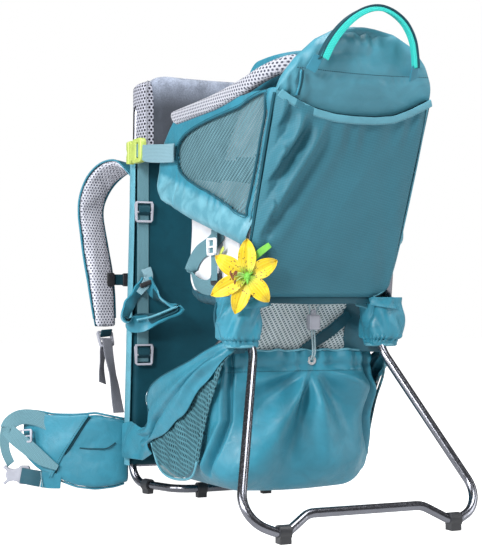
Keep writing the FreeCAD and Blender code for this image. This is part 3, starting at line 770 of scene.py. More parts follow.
def crumple(points, size, seed):
    """Soft random creases in millimetre space, about -1 to 1: plane waves folded into ridges."""
    draw = np.random.RandomState(seed)
    total = np.zeros(points.shape[:-1])
    for _ in range(CREASE_WAVES):
        direction = unit(draw.normal(size=3)) * 2 * math.pi / (size * draw.uniform(0.6, 1.7))
        bend = unit(draw.normal(size=3)) * 2 * math.pi / (size * 2.7)
        phase = points @ direction + draw.uniform(0, 6.28) + 1.1 * np.sin(points @ bend + draw.uniform(0, 6.28))
        total += 1 - 2 * np.abs(np.sin(phase / 2)) ** (1 / CREASE_SHARPNESS)
    return total / CREASE_WAVES ** 0.5


def both(points, side):
    """Points drawn on the right (+X), moved to the named side."""
    points = np.array(points, float)
    return points * (SIDES[side], 1, 1)


# ---------------------------------------------------------------- rear cover, pocket and handle

COVER_PROFILE = ([320, 345, 470, 597, 622, 642, 662, 678, 692], [-194, -205, -258, -311, -328, -337, -338, -333, -321])
CREST = ([0, 16, 46, 77, 99, 113, 118, 122], [691, 690, 684, 668, 646, 625, 612, 590])


SEAM_FOOT_Y, SEAM_FOOT_Z, SEAM_LEAN = -188.0, 327.0, 0.41481
HEM_Z = 320.0


def seam_y(z, off=0.0):
    """Y of the leaning cover's edge seam at height z, off further to the rear."""
    return SEAM_FOOT_Y - (z - SEAM_FOOT_Z) * SEAM_LEAN - off


def cover_grid(rows, columns):
    """A grid over the cover's outer face: v from the hem to the crest, u from the left edge to the right."""
    v, u = uv_grid(rows, columns)
    x = (2 * u - 1) * (116.5 + 4.5 * ease(0, 0.75, v))
    top = np.interp(np.abs(x), *CREST)
    return u, v, x, HEM_Z + v * (top - HEM_Z)


def make_cover():
    """The rear cover: a padded panel gathered under its crest, with piping, a seam and a hem."""
    u, v, x, z = cover_grid(84, 72)
    outer = np.interp(z, *COVER_PROFILE)
    inner = seam_y(z, -3)
    middle = stack(x, (outer + inner) / 2, z)
    half = (inner - outer) / 2
    sag = 4.0 * np.sin(np.pi * u) * ease(0, 0.3, v) * (1 - 0.55 * ease(0.75, 1, v))
    crest_depth = np.interp(np.abs(x), *CREST) - z
    spread = np.sin(x * 0.24 + 1.7 * np.sin(x * 0.043) + 1.3 * np.sin(z * 0.05))
    gathers = 3.0 * spread * ridge(crest_depth - 10, 24) * (0.75 + 0.5 * np.sin(x * 0.05 + 1)) * ease(50, -10, x)
    fold = 6.0 * ridge(crest_depth - 24 - 9 * np.sin(x * 0.03), 9) * ridge(x + 32, 46)
    fold -= 5.0 * ridge(crest_depth - 40 - 7 * np.sin(x * 0.03), 8) * ridge(x + 28, 40)
    crease = 1.4 * crumple(middle, 70, 11) * ease(0.72, 0.9, v) + 0.5 * crumple(middle, 120, 5)
    seam = -3.0 * ridge(z - 626 + 2.0 * np.cos(x * 0.02), 1.8)
    left_top = ease(-84, -94, x) * ease(584, 600, z) * ease(628, 618, z)
    flap_pull = left_top * (4.0 * np.sin(x * 0.42 + z * 0.10) + 2.5 * np.sin(z * 0.21 + x * 0.12))
    flap_pull += -3.0 * ridge(x + 91.5 + 0.05 * (z - 606), 1.8) * ease(584, 592, z) * ease(630, 622, z)
    tucked = 11.0 * ease(-8, -36, z - pocket_top(x))
    face = half + sag + gathers + fold + crease + seam + flap_pull - tucked
    pillow("rear_cover_panel", middle[:, ::-1], face[:, ::-1], (half - 1)[:, ::-1], 15.0, "teal_cover",
           nodes=("rear_cover",))

    def on_cover(px, pz, lift):
        return (px, float(np.interp(pz, *COVER_PROFILE)) - lift - 3.6 * math.sin(math.pi * (px + 121) / 242), pz)

    top_seam = [on_cover(px, 626 - 2.0 * math.cos(px * 0.02), 1.4) for px in range(-102, 103, 12)]
    stitches("rear_cover_top_seam", top_seam, "web_dark", size=0.55)
    line = [(-93.5, -332.5, 624), (-92.5, -327.0, 608), (-93.5, -318.5, 592)]
    cord_tube("rear_cover_flap_edge", line, 1.5, "web_dark")
    cord_tube("rear_cover_flap_piping", [(p[0] - 2.6, p[1] + 0.4, p[2]) for p in line], 1.5, "teal")
    for k, px in enumerate((-118, 118)):
        piping = [(px * (1 + 0.032 * ease(320, 560, pz)), seam_y(pz, 3.5), pz) for pz in range(324, 600, 16)]
        cord_tube(f"rear_cover_piping_{k}", piping, 2.3, "binding")
    hem = [(px, seam_y(HEM_Z, 4.0 + 3 * math.cos(px / 60)), 319.5 - 0.8 * math.cos(px / 30))
           for px in range(-114, 115, 12)]
    band("rear_cover_hem", hem, (0, 0.2, 1), 15, 2.6, "teal_dark", crown=1.0)
    for k in (-1, 1):
        tuck = [(k * 70, seam_y(314), 316), (k * 108, seam_y(312, -6), 312), (k * 121, seam_y(318, -30), 318)]
        band(f"rear_cover_hem_end_{(k + 1) // 2}", tuck, (0, 0.4, 1), [14, 20, 16], 2.4, "teal_light", ripple=(1.4, 17))


POCKET_TOP = ([-128, -108, -92, -66, -36, -6, 28, 59, 85, 111, 122],
              [605, 593, 586, 576, 570, 568.5, 569, 573, 583, 596, 602])


def pocket_top(x):
    """Height of the pocket's mouth."""
    return np.interp(x, *POCKET_TOP)


def pocket_face(x, z):
    """Y of the pocket's outer face: it stands off the cover and bellies out a little."""
    across = np.clip((x + 120) / 240, 0, 1)
    belly = 9.0 * np.sin(np.pi * across) ** 0.7 * ease(322, 380, z)
    return seam_y(z, 11.5) - 1.2 - belly - 2.5 * ease(590, 560, z)


def make_pocket():
    """The big rear pocket: one cloth with long folds, a bound mouth and a piped corner."""
    v, u = uv_grid(110, 96)
    low_corner = 18 * np.clip((u - 0.90) / 0.10, 0, 1) ** 2.4
    x = -118.5 - 1.5 * v + u * (238 - 1.5 * (1 - v))
    bottom = 322 + low_corner
    z = bottom + v * (pocket_top(x) - bottom)
    y = pocket_face(x, z)
    points = stack(x, y, z)
    # long folds hang from the upper left corner and run down to the left seam
    lean = (x + 114) - (z - 330) * 0.50
    fade = ease(0.62, 0.10, u) * ease(0.10, 0.45, v)
    folds = np.zeros_like(x)
    for offset, width, height in ((-120, 8, 6.0), (-102, 7.5, -9.5), (-84, 8, 9.5), (-66, 8, -8.5), (-47, 8.5, 7.5),
                                  (-28, 9, -3.5), (-6, 10, 1.8), (18, 11, -1.0)):
        folds += 1.7 * height * ridge(lean - offset, width)
    hem_fall = ease(-10, 60, pocket_top(x) - z)
    from_seam = x + 106
    seam_pull = -6.5 * ridge(from_seam - 5, 3.6)
    seam_pull += 2.2 * np.sin(z * 0.33 + 1.2 * np.sin(z * 0.05)) * ridge(from_seam - 6, 7)
    gather = 1.8 * np.sin(x * 0.19 + 0.9 * np.sin(x * 0.07)) * ridge(pocket_top(x) - 22 - z, 22)
    right_pull = 1.6 * np.sin((x - 118) * 0.13 + (z - 330) * 0.035) * ease(50, 105, x) * ease(560, 430, z)
    hang = 0.9 * np.sin((x - 0.16 * (z - 400)) * 0.085 + 1.0) * ease(560, 480, z) * ease(-60, 0, x)
    soft = 1.3 * crumple(points, 120, 3)
    edge = ease(0, 0.035, u) * ease(1, 0.975, u) * ease(0, 0.02, v)
    drop = 8.5 * (1 - edge)
    shape = folds * fade * hem_fall + seam_pull * ease(0.02, 0.1, v) + gather + right_pull + hang + soft
    lift = np.maximum(shape + 5.5 * fade * ease(0, 0.08, u), -2.5 - 14 * u)
    y = y + drop - lift * edge
    cloth("rear_pocket_panel", stack(x, y, z)[:, ::-1], "pocket", thick=1.4, nodes=("rear_pocket",))
    line = []
    for px in np.linspace(-119.5, 118.5, 40):
        reach = 0.6 + 2.2 * math.sin(math.pi * (px + 119) / 238)
        line.append((px, float(pocket_face(px, pocket_top(px))) - reach, float(pocket_top(px)) - 5.0))
    band("rear_pocket_band", line, (0, -0.38, 1), 11.0, 2.0, "teal_light", crown=0.5, pitch=4)
    out = (0, -1, 0.2)
    stitches("rear_pocket_band_stitch", [(p[0], p[1] + 0.1, p[2] - 4.6) for p in line[1:-1]], "web", out=out, pitch=3.4,
             size=0.42)
    hem = [(p[0], p[1] + 3.0, p[2] + 5.5) for p in line[1:-1]]
    band("rear_pocket_inner_hem", hem, (0, -0.38, 1), 5, 1.2, "web_dark")
    corner = [(117, seam_y(600, 10), 600), (120, seam_y(520, 9), 520), (119.5, seam_y(420, 9), 420),
              (117.5, seam_y(360, 9), 362), (109, seam_y(335, 11), 334), (92, seam_y(322, 12), 323)]
    cord_tube("rear_pocket_piping", corner, 1.5, "teal_light")


HANDLE_RISE = [(-80, 636), (-70, 656), (-56, 676), (-38, 694), (-18, 707), (2, 713.5), (20, 713), (38, 706), (54, 693),
               (65, 673), (69, 652), (70, 634)]


def make_handle():
    """A folded webbing handle: a dark outer turn and a bright lining that faces the rear."""
    body = "grab_handle"
    arch = smooth_path(HANDLE_RISE, 44)
    ring = unit(arch - (0.0, 640.0))
    outer = [(x, -352.0, z) for x, z in arch]
    band("handle_webbing", outer, (0, 1, 0), 16, 2.2, "web_dark", body=body, nodes=("grab_handle",), pitch=4)
    inner = [(x - 4.6 * nx, -359.4, z - 4.6 * nz) for (x, z), (nx, nz) in zip(arch, ring)]
    wide = np.stack([ring[:, 0], 0 * ring[:, 0] + 0.10, ring[:, 1]], 1)
    band("handle_lining", inner, wide, [12, 11, 9, 6, 4.5, 5, 6], 1.6, "web_bright", body=body, crown=0.5, pitch=4)
    under = [(x - 1.8 * nx, -352.0, z - 1.8 * nz) for (x, z), (nx, nz) in zip(arch, ring)]
    band("handle_underside", under, (0, 1, 0), 14, 1.4, "web_bright", body=body, pitch=4)
    cord = [(x + 1.0 * nx, -359.6, z + 1.0 * nz) for (x, z), (nx, nz) in zip(arch, ring)]
    cord_tube("handle_edge", cord, 0.9, "web_dark", body=body)
    for k, (x, z) in enumerate((HANDLE_RISE[0], HANDLE_RISE[-1])):
        side = 1 if k else -1
        anchor = [(x + side * 5, -337, z - 13), (x + side * 2, -345, z - 4), (x, -352, z + 5)]
        band(f"handle_anchor_{k}", anchor, (1.0, 0.35 * side, 0.15 * side), [15, 15, 13], 2.2, "teal")


# ---------------------------------------------------------------- cockpit: walls, rim and linings

RIM_LINE = [(135.5, 22, 600), (133, -62, 603.5), (130.5, -130, 607), (124, -205, 617), (113, -250, 630),
            (96, -280, 639), (70, -291, 642)]


def wall_x(y):
    """Distance of a cockpit wall from the middle: it narrows towards the rear."""
    return 137.0 + (y - 24) * 0.0454


WALL_FRONT = ([600, 584, 565, 548, 531, 511, 498, 485, 473], [24, 46, 68, 80, 83, 81, 78, 72, 56])


def wall_grid(rows, columns):
    """u runs from the front edge to the rear seam, v from the lower hem to the rim."""
    v, u = uv_grid(rows, columns)
    low_front, low_rear = np.array((54.0, 473.0)), np.array((-216.0, 393.0))
    low = low_front + u[..., None] * (low_rear - low_front)
    low[..., 1] += -3.0 * np.sin(np.pi * u)
    high_front, high_rear = np.array((24.0, 598.0)), np.array((-299.0, 604.0))
    high = high_front + u[..., None] * (high_rear - high_front)
    high[..., 1] += 4.0 * np.sin(np.pi * u)
    plane = low + v[..., None] * (high - low)
    bulge = np.interp(plane[..., 1], *[WALL_FRONT[0][::-1], WALL_FRONT[1][::-1]])
    straight = 54.0 + v * (24.0 - 54.0)
    plane[..., 0] += (bulge - straight) * (1 - u) ** 2.2 * (v > 0) * ease(0, 0.02, v)
    rear = seam_y(plane[..., 1], 1.0)
    straight_rear = -216.0 + v * (-299.0 + 216.0)
    plane[..., 0] += (rear - straight_rear) * u ** 3
    return u, v, plane[..., 0], plane[..., 1]


WINDOW = [(1, 549), (-12, 561), (-42, 571), (-104, 580), (-200, 588), (-281, 597), (-264, 531), (-243, 480),
          (-225, 443), (-213, 437), (-123, 472), (-56, 494), (-12, 514), (-1, 530)]


def inside(y, z, outline):
    """Which points lie inside a (Y, Z) outline."""
    hit = np.zeros(np.shape(y), bool)
    n = len(outline)
    for k in range(n):
        (y0, z0), (y1, z1) = outline[k], outline[(k + 1) % n]
        crosses = ((z0 > z) != (z1 > z)) & (y < (y1 - y0) * (z - z0) / (z1 - z0 + 1e-9) + y0)
        hit ^= crosses
    return hit


def window_distance(y, z):
    """Distance to the window's outline, negative inside it."""
    best = np.full(np.shape(y), 1e9)
    n = len(WINDOW_LINE)
    for k in range(n):
        a, b = WINDOW_LINE[k], WINDOW_LINE[(k + 1) % n]
        d = b - a
        t = np.clip(((y - a[0]) * d[0] + (z - a[1]) * d[1]) / (d @ d), 0, 1)
        best = np.minimum(best, np.hypot(y - a[0] - t * d[0], z - a[1] - t * d[1]))
    return np.where(inside(y, z, WINDOW_LINE), -best, best)


WINDOW_LINE = smooth_path(WINDOW, 80, closed=True)


def wall_bulge(y, z, side):
    """How far the cockpit wall's cloth stands out from its flat plane."""
    across = np.clip((54 - y) / 280, 0, 1)
    belly = 3.5 * np.sin(np.pi * across) * ease(400, 460, z) * ease(604, 570, z)
    low_band = z - (473 + (y - 54) * 0.298)
    frill = 2.4 * np.sin(y * 0.21 + 2.4 * np.sin(y * 0.047) + side) * ridge(low_band - 42, 9) * ease(30, -20, y)
    roll = 7.0 * ridge(low_band - 14, 20)
    upper = 2.6 * np.sin((y * 0.8 + z) * 0.11) * ease(-190, -250, y) * ease(560, 592, z)
    front = 2.2 * np.sin(z * 0.13 + y * 0.05) * ease(10, 40, y) * ease(76, 62, y) * ease(545, 525, z)
    return belly + frill + roll + upper + front


def make_cockpit_wall(side):
    """A side wall with its net window, binding and stitches."""
    name = f"cockpit_wall_{side}"
    u, v, y, z = wall_grid(74, 110)
    distance = window_distance(y, z)
    sign = SIDES[side]
    x = wall_x(y) + wall_bulge(y, z, sign) + 0.5 * crumple(stack(y * 0, y, z), 60, 21)
    x -= 3.5 * ease(0.05, 0.0, v) + 3.5 * ease(0.035, 0, u)
    x -= 2.2 * ease(3, -4, distance) + 7.0 * ease(0.965, 1.0, u)
    x -= 1.8 * ridge(y - 3, 1.6) * ease(522, 512, z)
    points = stack(sign * x, y, z)
    if sign > 0:
        points, distance = points[:, ::-1], distance[:, ::-1]
    cell = (distance[:-1, :-1] + distance[1:, 1:]) / 2
    obj = cloth(name, points, "teal_wall", soften=False, nodes=(f"cockpit_side_{side}",))
    drop_faces(obj, cell < 0)
    modify(obj, "SOLIDIFY", thickness=2.4 * MM, offset=0.0)
    subdivide(obj)
    # net over the window, a touch inside the wall
    py, pz = points[..., 1], points[..., 2]
    net_points = stack(sign * (wall_x(py) + wall_bulge(py, pz, sign) - 3.0), py, pz)
    net_obj = cloth(f"cockpit_window_net_{side}", net_points, "net", soften=False)
    drop_faces(net_obj, cell > 9)
    border = []
    for py, pz in WINDOW_LINE:
        px = float(wall_x(py) + wall_bulge(py, pz, sign)) + 1.2
        border.append((sign * px, py, pz))
    cord_tube(f"cockpit_window_binding_{side}", border, 2.0, "binding", closed=True, squash=(1, 0.6))
    seam = [p for p in border if p[1] > seam_y(p[2], -9)]
    outer = smooth_path([(p[0] + sign * 0.8, p[1] + (p[1] + 110) * 0.03, p[2] + (p[2] - 515) * 0.05) for p in seam], 60)
    stitches(f"cockpit_window_stitch_{side}", outer, "web_dark", out=(sign, 0, 0), pitch=3.6, size=0.5)


def make_cockpit_lining(side):
    """The quilted inner panels that show through the window net."""
    sign = SIDES[side]
    y, z = wall_grid(40, 60)[2:]
    x = wall_x(y) - 9.0 + 2.0 * np.sin(y * 0.07 + z * 0.05) + wall_bulge(y, z, sign) * 0.5
    x -= 6.0 * ridge(z - 520 - (y + 100) * 0.1, 20)
    points = stack(sign * x, y, z)[:, ::sign * -1]
    yy, zz = points[..., 1], points[..., 2]
    cy, cz = (yy[:-1, :-1] + yy[1:, 1:]) / 2, (zz[:-1, :-1] + zz[1:, 1:]) / 2
    pale_low = cz < 497 + (cy + 60) * 0.10
    pale_rear = (cy < -165 - (cz - 560) * 0.9) & (cz > 520)
    middle = ~(pale_low | pale_rear)
    cloth(f"cockpit_lining_{side}", points, ("lining", "lining_dark"), thick=1.6,
          face_mats=np.where(middle, 1, 0).ravel())


def make_rim():
    """The mesh pad round the cockpit's top edge."""
    line = smooth_path(RIM_LINE + [(-x, y, z) for x, y, z in reversed(RIM_LINE)], 120)
    rows = 18
    along = tangents(line)
    verts, uvs = [], []
    steps = run_along(line)
    for i, p in enumerate(line):
        outward = unit(np.cross(along[i], (0, 0, 1)))
        end = min(steps[i], steps[-1] - steps[i])
        taper = math.sqrt(max(0.0, 1 - (1 - min(1.0, end / 6)) ** 2)) * 0.75 + 0.25
        fore = (-1 if steps[i] < steps[-1] / 2 else 1) * max(0.0, 1 - end / 26)
        for k in range(rows):
            turn = 2 * math.pi * k / rows
            across, tall = math.cos(turn), math.sin(turn)
            flat = abs(across) ** 0.7 * math.copysign(1, across)
            rise = (11.0 if tall < 0 else 12.0) * abs(tall) ** 0.8 * math.copysign(1, tall) * taper
            verts.append(p + outward * 9.6 * flat * taper + np.array((0, 0, rise - 1.0)) + along[i] * fore * rise)
            uvs.append((steps[i], k * 4.0))
    faces = grid_faces(len(line), rows, wrap_v=True)
    faces += [tuple(range(rows))[::-1], tuple(range((len(line) - 1) * rows, len(line) * rows))]
    obj = add_object("cockpit_rim", verts, faces, "mesh_rim", uvs=uvs, nodes=("cockpit_rim_pad",))
    subdivide(obj)


# ---------------------------------------------------------------- padding swollen by a short cloth simulation

CLOTH_FRAMES = 20


def inflate(obj, voxel, pressure, cap, seams=None):
    """Swells a closed pad; cap limits how far a point moves, and seams weighs the points that stay sewn down."""
    apply_modifiers(obj)
    modify(obj, "REMESH", mode="VOXEL", voxel_size=voxel * MM, use_smooth_shade=True)
    apply_modifiers(obj)
    rest = np.array([v.co for v in obj.data.vertices]) / MM
    group = obj.vertex_groups.new(name="seam")
    weights = seams(rest) if seams is not None else np.zeros(len(rest))
    for k in np.nonzero(weights > 0.02)[0]:
        group.add([int(k)], float(min(1.0, weights[k])), "REPLACE")
    made = modify(obj, "CLOTH")
    settings = made.settings
    settings.quality = 4
    settings.mass = 0.15
    settings.tension_stiffness = settings.compression_stiffness = settings.shear_stiffness = 12
    settings.bending_stiffness = 0.4
    settings.use_pressure = True
    settings.uniform_pressure_force = pressure
    settings.vertex_group_mass = "seam"
    settings.effector_weights.gravity = 0
    made.collision_settings.use_collision = False
    scene = bpy.context.scene
    made.point_cache.frame_start, made.point_cache.frame_end = 1, CLOTH_FRAMES
    for frame_number in range(1, CLOTH_FRAMES + 1):
        scene.frame_set(frame_number)
    graph = bpy.context.evaluated_depsgraph_get()
    swollen = obj.evaluated_get(graph).to_mesh()
    moved = np.array([v.co for v in swollen.vertices]) / MM - rest
    obj.evaluated_get(graph).to_mesh_clear()
    far = np.linalg.norm(moved, axis=1, keepdims=True)
    moved *= np.minimum(1.0, cap / np.maximum(far, 1e-6)) * (1 - 0.85 * np.minimum(weights, 1)[:, None])
    obj.modifiers.clear()
    obj.data.vertices.foreach_set("co", ((rest + moved) * MM).ravel())
    obj.data.polygons.foreach_set("use_smooth", [True] * len(obj.data.polygons))
    obj.data.update()
    scene.frame_set(1)
    modify(obj, "SMOOTH", factor=0.5, iterations=2)
    subdivide(obj)
    return obj


# ---------------------------------------------------------------- back system

PANEL_HALF_WIDTH = ([40, 120, 470, 560], [143, 143, 134.5, 133.5])


def make_back_panel():
    """The stiff panel on the wearer's side, its bound edges and seams."""
    v, u = uv_grid(60, 40)
    z = 40 + 520 * v
    half = np.interp(z, *PANEL_HALF_WIDTH)
    x = (2 * u - 1) * half
    y = 213.0 + 0 * x
    middle = stack(x, y, z)
    dent = 2.5 * ridge(np.abs(x) - 96, 16) * ease(60, 100, z)
    out = 13.6 - dent + 0.8 * crumple(middle, 90, 7) + 1.2 * ridge(z - 150, 40) * np.sin(x * 0.1)
    pillow("back_panel", middle, out, 13.2, 9.0, "panel", nodes=("back_panel",))
    for side, sign in SIDES.items():
        edge = [(sign * (np.interp(pz, *PANEL_HALF_WIDTH) + 0.5), 212, pz) for pz in range(44, 561, 24)]
        band(f"back_panel_edge_{side}", edge, (0, 1, 0), 23, 2.0, "teal_light", crown=1.8)
        seam = [(sign * (p[0] * sign - 17), 199.4, p[2]) for p in edge]
        cord_tube(f"back_panel_seam_{side}", seam, 1.0, "panel")


def make_neck():
    """The upper back: a mesh face towards the wearer and a fleece pad towards the child."""
    v, u = uv_grid(30, 46)
    x = (2 * u - 1) * 132
    top = 693 - 13 * np.abs(2 * u - 1) ** 7
    z = 560 + v * (top - 560)
    y = 207 - 2 * np.abs(2 * u - 1) ** 4
    obj = pillow("neck_mesh", stack(x, y, z), 33.0, 32.0, 13.0, "mesh", nodes=("neck_mesh_pad",))
    v, u = uv_grid(34, 56)
    x = (2 * u - 1) * (122 + 2 * v)
    top = 699 - 17 * np.abs(2 * u - 1) ** 9
    z = 560 + v * (top - 560)
    y = 183 + 0 * x
    out = 13 + 3.0 * ridge(z - 690, 22)
    pad = pillow("chin_fleece", stack(x, y, z), 13.0, out, 11.0, "fleece", nodes=("chin_pad",))
    inflate(pad, 5.0, 3.5, 5.0)
    for side in SIDES:
        line = both([(124, 169.5, 563), (126.0, 168.5, 620), (126.0, 170, 664), (121, 176, 683)], side)
        cord_tube(f"neck_piping_{side}", line, 1.5, "web_grey")


def make_back_pads():
    """Two ribbed back pads and the lumbar pad."""
    for side, sign in SIDES.items():
        v, u = uv_grid(44, 16)
        x = sign * (63 + (2 * u - 1) * 40)
        z = 190 + 358 * v
        y = 236 + 0 * x
        grid = stack(x, y, z)
        ribs = 2.4 * np.abs(np.sin(np.pi * v * 5)) ** 0.5
        out = 7.0 + ribs
        if sign < 0:
            grid, out = grid[:, ::-1], out[:, ::-1]
        obj = pillow(f"back_pad_{side}", grid[:, ::-1], out[:, ::-1], 9.2, 8.0, "mesh",
                     nodes=once(sign, "back_pads"))
        inflate(obj, 4.5, 2.5, 3.0, seams=lambda p: sum(ridge(p[:, 2] - (190 + 71.6 * k), 5) for k in range(1, 5)))
    v, u = uv_grid(26, 44)
    x = (2 * u - 1) * 125
    z = 34 + 126 * v
    obj = pillow("lumbar_pad_cover", stack(x, 238 + 0 * x, z)[:, ::-1], 10.5, 11.0, 10.0, "mesh", nodes=("lumbar_pad",))
    inflate(obj, 5.0, 3.0, 4.0, seams=lambda p: ridge(np.abs(p[:, 0]) - 62, 5) + ridge(p[:, 0], 5))


# ---------------------------------------------------------------- child's seat, headrest and harness

def make_seat():
    """The child's seat: a saddle, two side cheeks, webbing loops, tapes and clips."""
    body = "seat"
    v, u = uv_grid(46, 30)
    y = -127 + 226 * v
    half = np.interp(y, [-128, 10, 46, 100], [85, 85, 71, 58])
    x = (2 * u - 1) * half
    z = 337 + 0 * x + 4 * ridge(y - 60, 40)
    obj = pillow("seat_pad", stack(x, y, z), 12.0, 14.0, 11.0, "lining", body=body, nodes=("seat_saddle",))
    inflate(obj, 5.5, 3.0, 5.0, seams=lambda p: ridge(p[:, 1] - 5, 5) * ridge(p[:, 0], 60)
            + ridge(np.abs(p[:, 0]) - 40, 4) * ridge(p[:, 1] + 60, 50))
    for side, sign in SIDES.items():
        v, u = uv_grid(30, 34)
        y = 62 - 190 * u
        low = 329 + 10 * (1 - ease(0, 0.12, u)) ** 2
        high = np.interp(u, [0, 0.12, 0.5, 1.0], [449, 453, 438, 410])
        z = low + v * (high - low)
        x = 92.5 + 1.4 * np.sin(z * 0.05 + y * 0.03) - 3.2 * ease(0.1, 0, v) - 3 * ease(0.08, 0, u)
        cloth(f"seat_side_{side}", stack(sign * x, y, z)[:, ::-sign], "lining", body=body, thick=3.2)
        under = both([(86, 56, 330), (90, 20, 322), (90, -50, 317), (86, -118, 316)], side)
        band(f"seat_under_{side}", under, (0.6 * sign, 0, 1), 18, 3.0, "teal_dark", body=body, crown=3.0,
             ripple=(1.2, 30))
        loop = both([(98.5, -72, 420), (99, -40, 404), (100, 8, 390), (101, 34, 366), (100, 18, 345),
                     (98, -24, 337), (97, -52, 345)], side)
        band(f"seat_webbing_{side}", loop, (sign * 0.25, 0.1, 1), 24, 1.8, "web", body=body, crown=0.8)
        tape = both([(99.5, -62, 372), (101, -74, 385), (100.5, -88, 396)], side)
        band(f"seat_tape_{side}", tape, (0, 0.6, 0.8), 6.5, 1.2, "lime_tape", body=body)
        slab(f"seat_clip_{side}", rounded((-72, 340), (-44, 358), 5), sign * 97, sign * 103.5, "black", body=body,
             bevel=1.6, axes="yz")


LOCK_SHAPE = [(-1, 0.72), (-0.86, 1), (0.86, 1), (1, 0.72), (0.92, -0.8), (0.74, -1), (-0.74, -1), (-0.92, -0.8)]
LOCK_BARS = 1
LOCK_BEVEL = 1.1


def lock_frame(name, centre, width, height, thick, mat, body, turns=(), nodes=()):
    """A ladder lock: a rounded frame with slots, tapering a little downwards, facing Y."""
    cx, cy, cz = centre
    w, h = width / 2, height / 2
    outline = [(cx + a * w, cz + b * h) for a, b in LOCK_SHAPE]
    holes = []
    for k in range(LOCK_BARS + 1):
        low = cz - h + 3.4 + k * (height - 5.0) / (LOCK_BARS + 1)
        high = cz - h + 0.4 + (k + 1) * (height - 3.2) / (LOCK_BARS + 1)
        holes.append(((cx - w + 4, cy - thick, low), (cx + w - 4, cy + thick, high)))
    return slab(name, outline, cy - thick / 2, cy + thick / 2, mat, body=body, bevel=LOCK_BEVEL, holes=holes,
                turns=turns, nodes=nodes)


def make_seat_adjusters():
    """The straps that set the seat's height, each with a ladder lock."""
    for side, sign in SIDES.items():
        x = sign * 106
        band(f"seat_adjuster_strap_{side}", [(x, -65, 347), (x, -65, 424)], (0, 1, 0), 21, 1.6, "web", body="seat",
             nodes=once(sign, "seat_adjuster_straps"))
        lock_frame(f"seat_adjuster_lock_{side}", (0, 0, 0), 30, 26, 4.4, "white", "seat",
                   turns=(((0, 0, 0), "Z", 90),), nodes=once(sign, "seat_adjuster_locks")).location = (
            sign * 110.4 * MM, -65 * MM, 398 * MM)


def make_headrest():
    """The child's headrest: a mesh pad in a cloth shell."""
    body = "headrest"
    rows, columns = 34, 60
    v, u = uv_grid(rows, columns)
    turn = (u - 0.5) * 2
    plan = smooth_path([(84, -120), (84, -168), (76, -214), (52, -244), (0, -254), (-52, -244), (-76, -214),
                        (-84, -168), (-84, -120)], columns)
    x = np.tile(plan[:, 0], (rows, 1))
    y0 = np.tile(plan[:, 1], (rows, 1))
    top = 656 + 4 * np.cos(turn * 2.2) - 30 * ease(0.72, 1, np.abs(turn)) ** 2
    z = 564 + v * (top - 564)
    y = y0 - (z - 562) * 0.30
    obj = pillow("headrest_padding", stack(x, y, z), 7.0, 7.0, 8.0, "mesh", body=body, nodes=("headrest_pad",))
    inflate(obj, 4.5, 3.0, 4.0, seams=lambda p: ridge(np.abs(p[:, 0]) - 46, 4))
    away = unit(np.stack([np.gradient(plan[:, 1]), -np.gradient(plan[:, 0])], 1))
    away *= np.sign((away * (plan - (0, -150))).sum(1, keepdims=True))
    shell = plan + away * 9.0
    xs, ys = np.tile(shell[:, 0], (rows, 1)), np.tile(shell[:, 1], (rows, 1)) - (z - 562) * 0.30
    cloth("headrest_shell", stack(xs, ys, z + 3 * v), "teal", body=body, thick=2.4)


def make_harness():
    """The child's harness: two padded straps, their webbing and a buckle."""
    for side, sign in SIDES.items():
        run = both([(34, seam_y(530) + 10, 530), (38, seam_y(500) + 11, 500), (44, seam_y(456) + 25, 456),
                    (46, seam_y(430) + 47, 430)], side)
        pad = band(f"harness_pad_{side}", run, (1, 0, 0), 29, 5.0, "harness", body="seat", crown=1.6,
                   nodes=once(sign, "harness_straps"))
        lower = both([(46, seam_y(430) + 48, 431), (40, seam_y(430) + 80, 419), (26, seam_y(430) + 94, 413),
                      (12, seam_y(430) + 93, 413)], side)
        band(f"harness_web_{side}", lower, (1, 0, 0.4), 17, 1.8, "web_dark", body="seat")
    y = seam_y(430) + 93
    shield = [(-16, 418), (-12, 424), (12, 424), (16, 418), (13, 405), (7, 401.5), (-7, 401.5), (-13, 405)]
    slab("harness_buckle_shell", shield, y - 5, y + 5, "black", body="seat", bevel=2.0, nodes=("harness_buckle",))
    slab("harness_buckle_button", rounded((-6, 406), (6, 416), 4), y - 7, y - 4.4, "lime", body="seat", bevel=0.8)


# ---------------------------------------------------------------- lower compartment

BAG_REAR_Y, BAG_FRONT_Y, BAG_HALF_WIDTH = -152.0, 92.0, 138.0


def plan_ring(count, inset, radius):
    """Points round the bag's plan, anticlockwise from the middle of the rear wall, pulled in by inset."""
    y0, y1, half = BAG_REAR_Y + inset, BAG_FRONT_Y - inset, BAG_HALF_WIDTH - inset
    rear, front = max(52.0 - inset, 6.0), max(radius - inset, 5.0)
    corners = [((half - rear, y0 + rear), rear, -90), ((half - front, y1 - front), front, 0),
               ((-half + front, y1 - front), front, 90), ((-half + rear, y0 + rear), rear, 180)]
    points = [(0.0, y0)]
    for (cx, cy), r, start in corners:
        for k in range(9):
            turn = math.radians(start + 90 * k / 8)
            points.append((cx + r * math.cos(turn), cy + r * math.sin(turn)))
    points.append((0.0, y0))
    points = np.array(points)
    steps = run_along(points)
    at = np.linspace(0, steps[-1], count, endpoint=False)
    ring = np.stack([np.interp(at, steps, points[:, k]) for k in (0, 1)], 1)
    ring[:, 0] *= (128 + (ring[:, 1] - BAG_REAR_Y) * 20 / 244) / BAG_HALF_WIDTH
    return ring


BAG_TOP = ([-152, -112, -70, 20, 86, 92], [244, 240, 228, 198, 179, 178])


